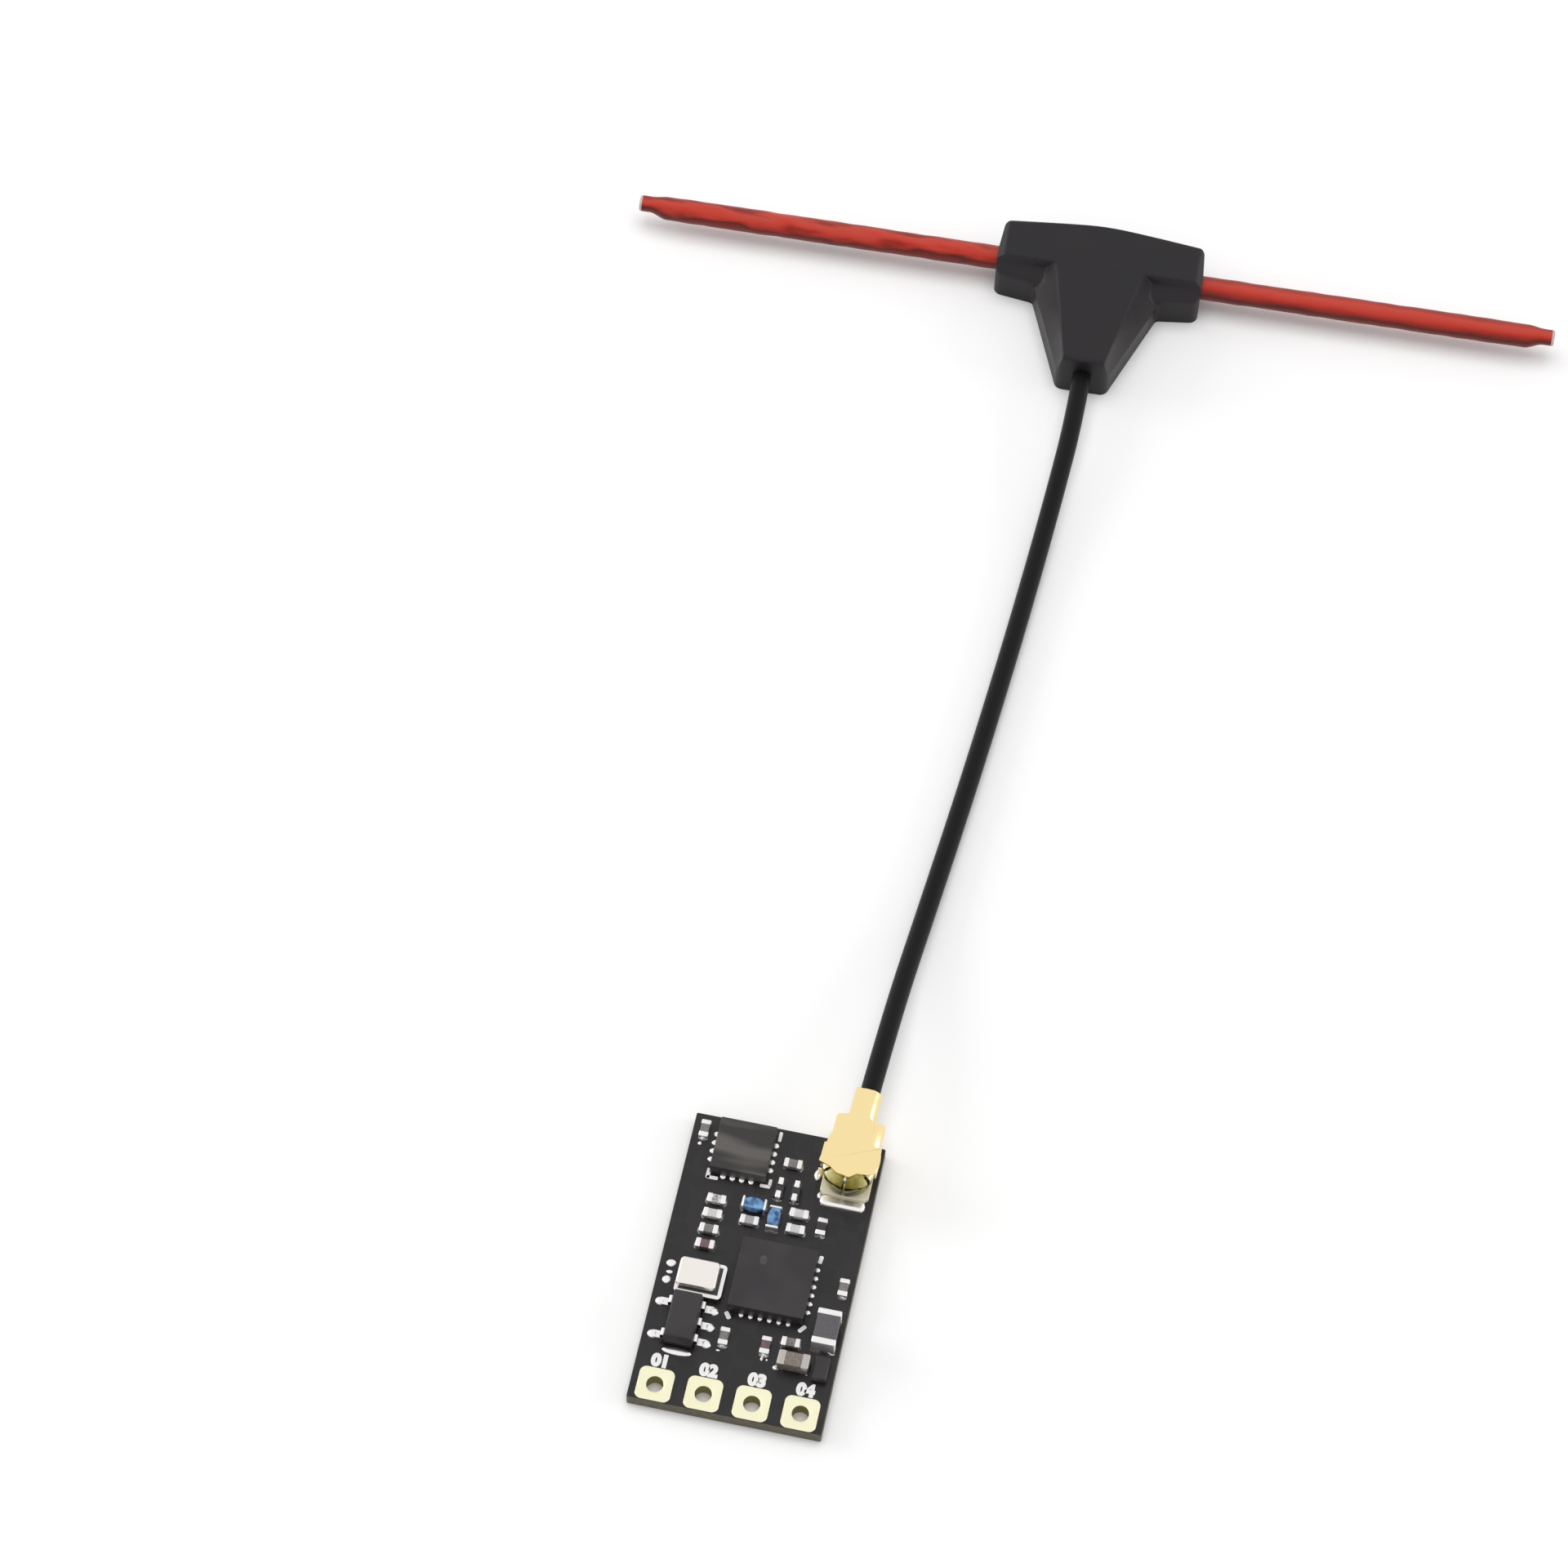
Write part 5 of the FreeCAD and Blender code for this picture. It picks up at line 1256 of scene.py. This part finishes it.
# %% Height over the T
def housing_height(u, w, edge_distance):
    """Top of the T at a point: a bar with a stepped front ledge, and a stem with bevelled
    flanks; the higher of the two, then rounded towards the outline."""
    side = np.abs(u)
    down = (w + 1.78) / (STEM_END + 1.78)
    foot = STEM_HALF + down * (STEM_END_HALF - STEM_HALF)
    shelf = STEM_TOP + down * (STEM_END_TOP - STEM_TOP)
    flank = WALL_TALL + (HOUSING_TALL - WALL_TALL) * (foot - side) / (foot - shelf)
    stem = blend_low(np.full_like(u, HOUSING_TALL), flank, 0.16)
    stem = blend_low(stem, rounded_edge(HOUSING_TALL, 0.3, w - STEM_END) + 0.05, 0.1)
    front = LEDGE_FRONT - LEDGE_SLOPE * (BAR_HALF - side) / (BAR_HALF - STEM_HALF)
    step = np.clip((w - STEP_FRONT + 0.1) / 0.2, 0, 1)
    out = np.clip((STEP_FRONT - 0.1 - w) / (STEP_FRONT - 0.1 - front), 0, 1)
    ledge = LEDGE_TALL - LEDGE_FALL * out
    bar = ledge + (HOUSING_TALL - ledge) * step ** 2 * (3 - 2 * step)
    rim = rounded_edge(LEDGE_TALL - LEDGE_FALL, 0.34, w - front) + LEDGE_FALL * (1 - out)
    bar = np.where(w < STEP_FRONT - 0.1, np.minimum(bar, rim), bar)
    bar = np.where(w < front, -9.0, bar)
    bar = blend_low(bar, HOUSING_TALL - 0.45 + 1.1 * (BAR_HALF - side), 0.12)
    top = -blend_low(-stem, -bar, 0.12)
    back = rounded_edge(HOUSING_TALL + 0.05, 0.35, edge_distance + 9 * np.clip(-w, 0, 1))
    return np.minimum(blend_low(top, back, 0.06), HOUSING_TALL)


# %% Loops of the T
def housing_grid(columns=420, rows=110):
    """Loops of the T: up the wall from the floor, then shrinking to the middle point. The
    back is a blunt peak: it falls from the crown with sqrt(u ^ 2 + r ^ 2) - r."""
    back_half = BAR_HALF - BAR_LEAN
    crown_u = back_half * np.linspace(1, -1, 25)[1:-1]
    fall = np.hypot(crown_u, PEAK_ROUND) - PEAK_ROUND
    deepest = math.hypot(back_half, PEAK_ROUND) - PEAK_ROUND
    crown_w = BAR_BACK + BAR_CROWN * (1 - fall / deepest)
    right = [(STEM_END_HALF, STEM_END), (STEM_HALF, LEDGE_FRONT - LEDGE_SLOPE),
             (BAR_HALF, LEDGE_FRONT), (BAR_HALF, 0), (back_half, BAR_BACK)]
    left = [(-u, w) for u, w in reversed(right)]
    corners = np.vstack([right, np.column_stack([crown_u, crown_w]), left])
    radii = np.concatenate([[0.5, 0.3, 0.5, 0.6, 0.35], np.full(len(crown_u), 0.3),
                            [0.35, 0.6, 0.5, 0.3, 0.5]])
    outline = evenly(rounded_polygon(corners, radii, 7), columns)
    middle = np.array([0.0, -0.4])
    shrink = np.concatenate([1 - 0.16 * np.linspace(0, 1, rows // 2) ** 1.4,
                             np.linspace(0.84, 0.01, rows // 2)[1:]])
    spread = middle + shrink[:, None, None] * (outline - middle)[None]
    flat = spread.reshape(-1, 2)
    nearest = np.concatenate([
        np.linalg.norm(part[:, None] - outline[None], axis=2).min(1)
        for part in np.array_split(flat, 40)]).reshape(spread.shape[:2])
    top = housing_height(spread[..., 0], spread[..., 1], nearest)
    wall = np.linspace(0, 1, 9)[:-1, None] * (top[0] - 0.05)
    wall_grid = np.concatenate([np.broadcast_to(outline, (8, columns, 2)),
                                wall[..., None]], -1)
    return np.concatenate([wall_grid, np.concatenate([spread, top[..., None]], -1)])


make_piece("moulded_housing", to_antenna(housing_grid()), HOUSING,
           replaces="antenna_housing", smooth=50)


# %% [markdown]
# ## Sleeved arms
# Each arm is a brass tube in red heat-shrink. The tube ends short of the sleeve, which
# shrinks in past it. The skin is a stack of rings along the arm, and their radius wanders
# by a hundredth of a millimetre or two, because shrunk tube is never quite true.

# %% Arms
SLEEVE_OUT, TIP_OUT, TAPER, TIP_LONG, TIP_LIFT = 0.7, 0.475, 1.7, 0.6, 0.16
SLEEVE_START = BAR_HALF - 1.6


def sleeve_grid(reach, sign, seed):
    """Rings along the arm: the radius falls with t ^ 2 (3 - 2 t) over the taper while the middle
    rises, so that the upper side stays nearly straight. Then the cut rim, and back inside."""
    station = np.concatenate([np.linspace(SLEEVE_START, reach - TAPER, 70),
                              reach - TAPER * np.linspace(1, 0, 24)[1:]])
    fall = np.clip((station - (reach - TAPER)) / (TAPER - TIP_LONG), 0, 1)
    fall = fall ** 2 * (3 - 2 * fall)
    radius = SLEEVE_OUT - (SLEEVE_OUT - TIP_OUT) * fall
    phase = np.random.default_rng(seed).uniform(0, 2 * math.pi, 4)
    wave = sum(np.sin(station[:, None] * k + phase[i] + i)
               for i, k in enumerate((0.9, 1.7, 2.9, 4.3)))
    angle = np.linspace(0, 2 * math.pi, 32, endpoint=False)
    swell = 1 + 0.008 * wave + 0.006 * np.sin(2 * angle + station[:, None] * 0.35)
    inside = np.broadcast_to([[TIP_OUT - 0.1], [TIP_OUT - 0.24]], (2, 32))
    rings = np.concatenate([radius[:, None] * swell, inside])
    rings[-3] -= 0.05
    along = np.concatenate([station, [reach - 0.02, reach - 0.9]])[:, None]
    lift = TIP_LIFT * np.concatenate([fall, [1.0, 0.7]])[:, None]
    return np.stack([np.broadcast_to(sign * along, rings.shape), rings * np.cos(angle),
                     HOUSING_TALL / 2 + lift + rings * np.sin(angle)], -1)


def arm(node, reach, sign, seed, skin):
    """One sleeve with its finish, and how far each point faces up and back as an attribute."""
    grid = sleeve_grid(reach, sign, seed)
    made = make_piece("shrunk_" + node, to_antenna(grid), [skin, CUT_EDGE], replaces=node,
                      band=[0] * 90 + [1] * 3 + [0])
    angle = np.linspace(0, 2 * math.pi, grid.shape[1], endpoint=False)
    # facing feeds the sleeve's painted light and shade.
    facing = np.tile(0.5 + 0.5 * (0.85 * np.cos(angle) + 0.53 * np.sin(angle)), len(grid))
    layer = made.data.attributes.new("facing", "FLOAT", "POINT")
    layer.data.foreach_set("value", facing.astype(np.float32))


LEFT_REACH, RIGHT_REACH = 27.5, 26.8
arm("sleeve_left", LEFT_REACH, -1, 11, STREAKED_RED)
arm("sleeve_right", RIGHT_REACH, 1, 12, RED)
print("arms reach", LEFT_REACH, "and", RIGHT_REACH, "mm from the middle")
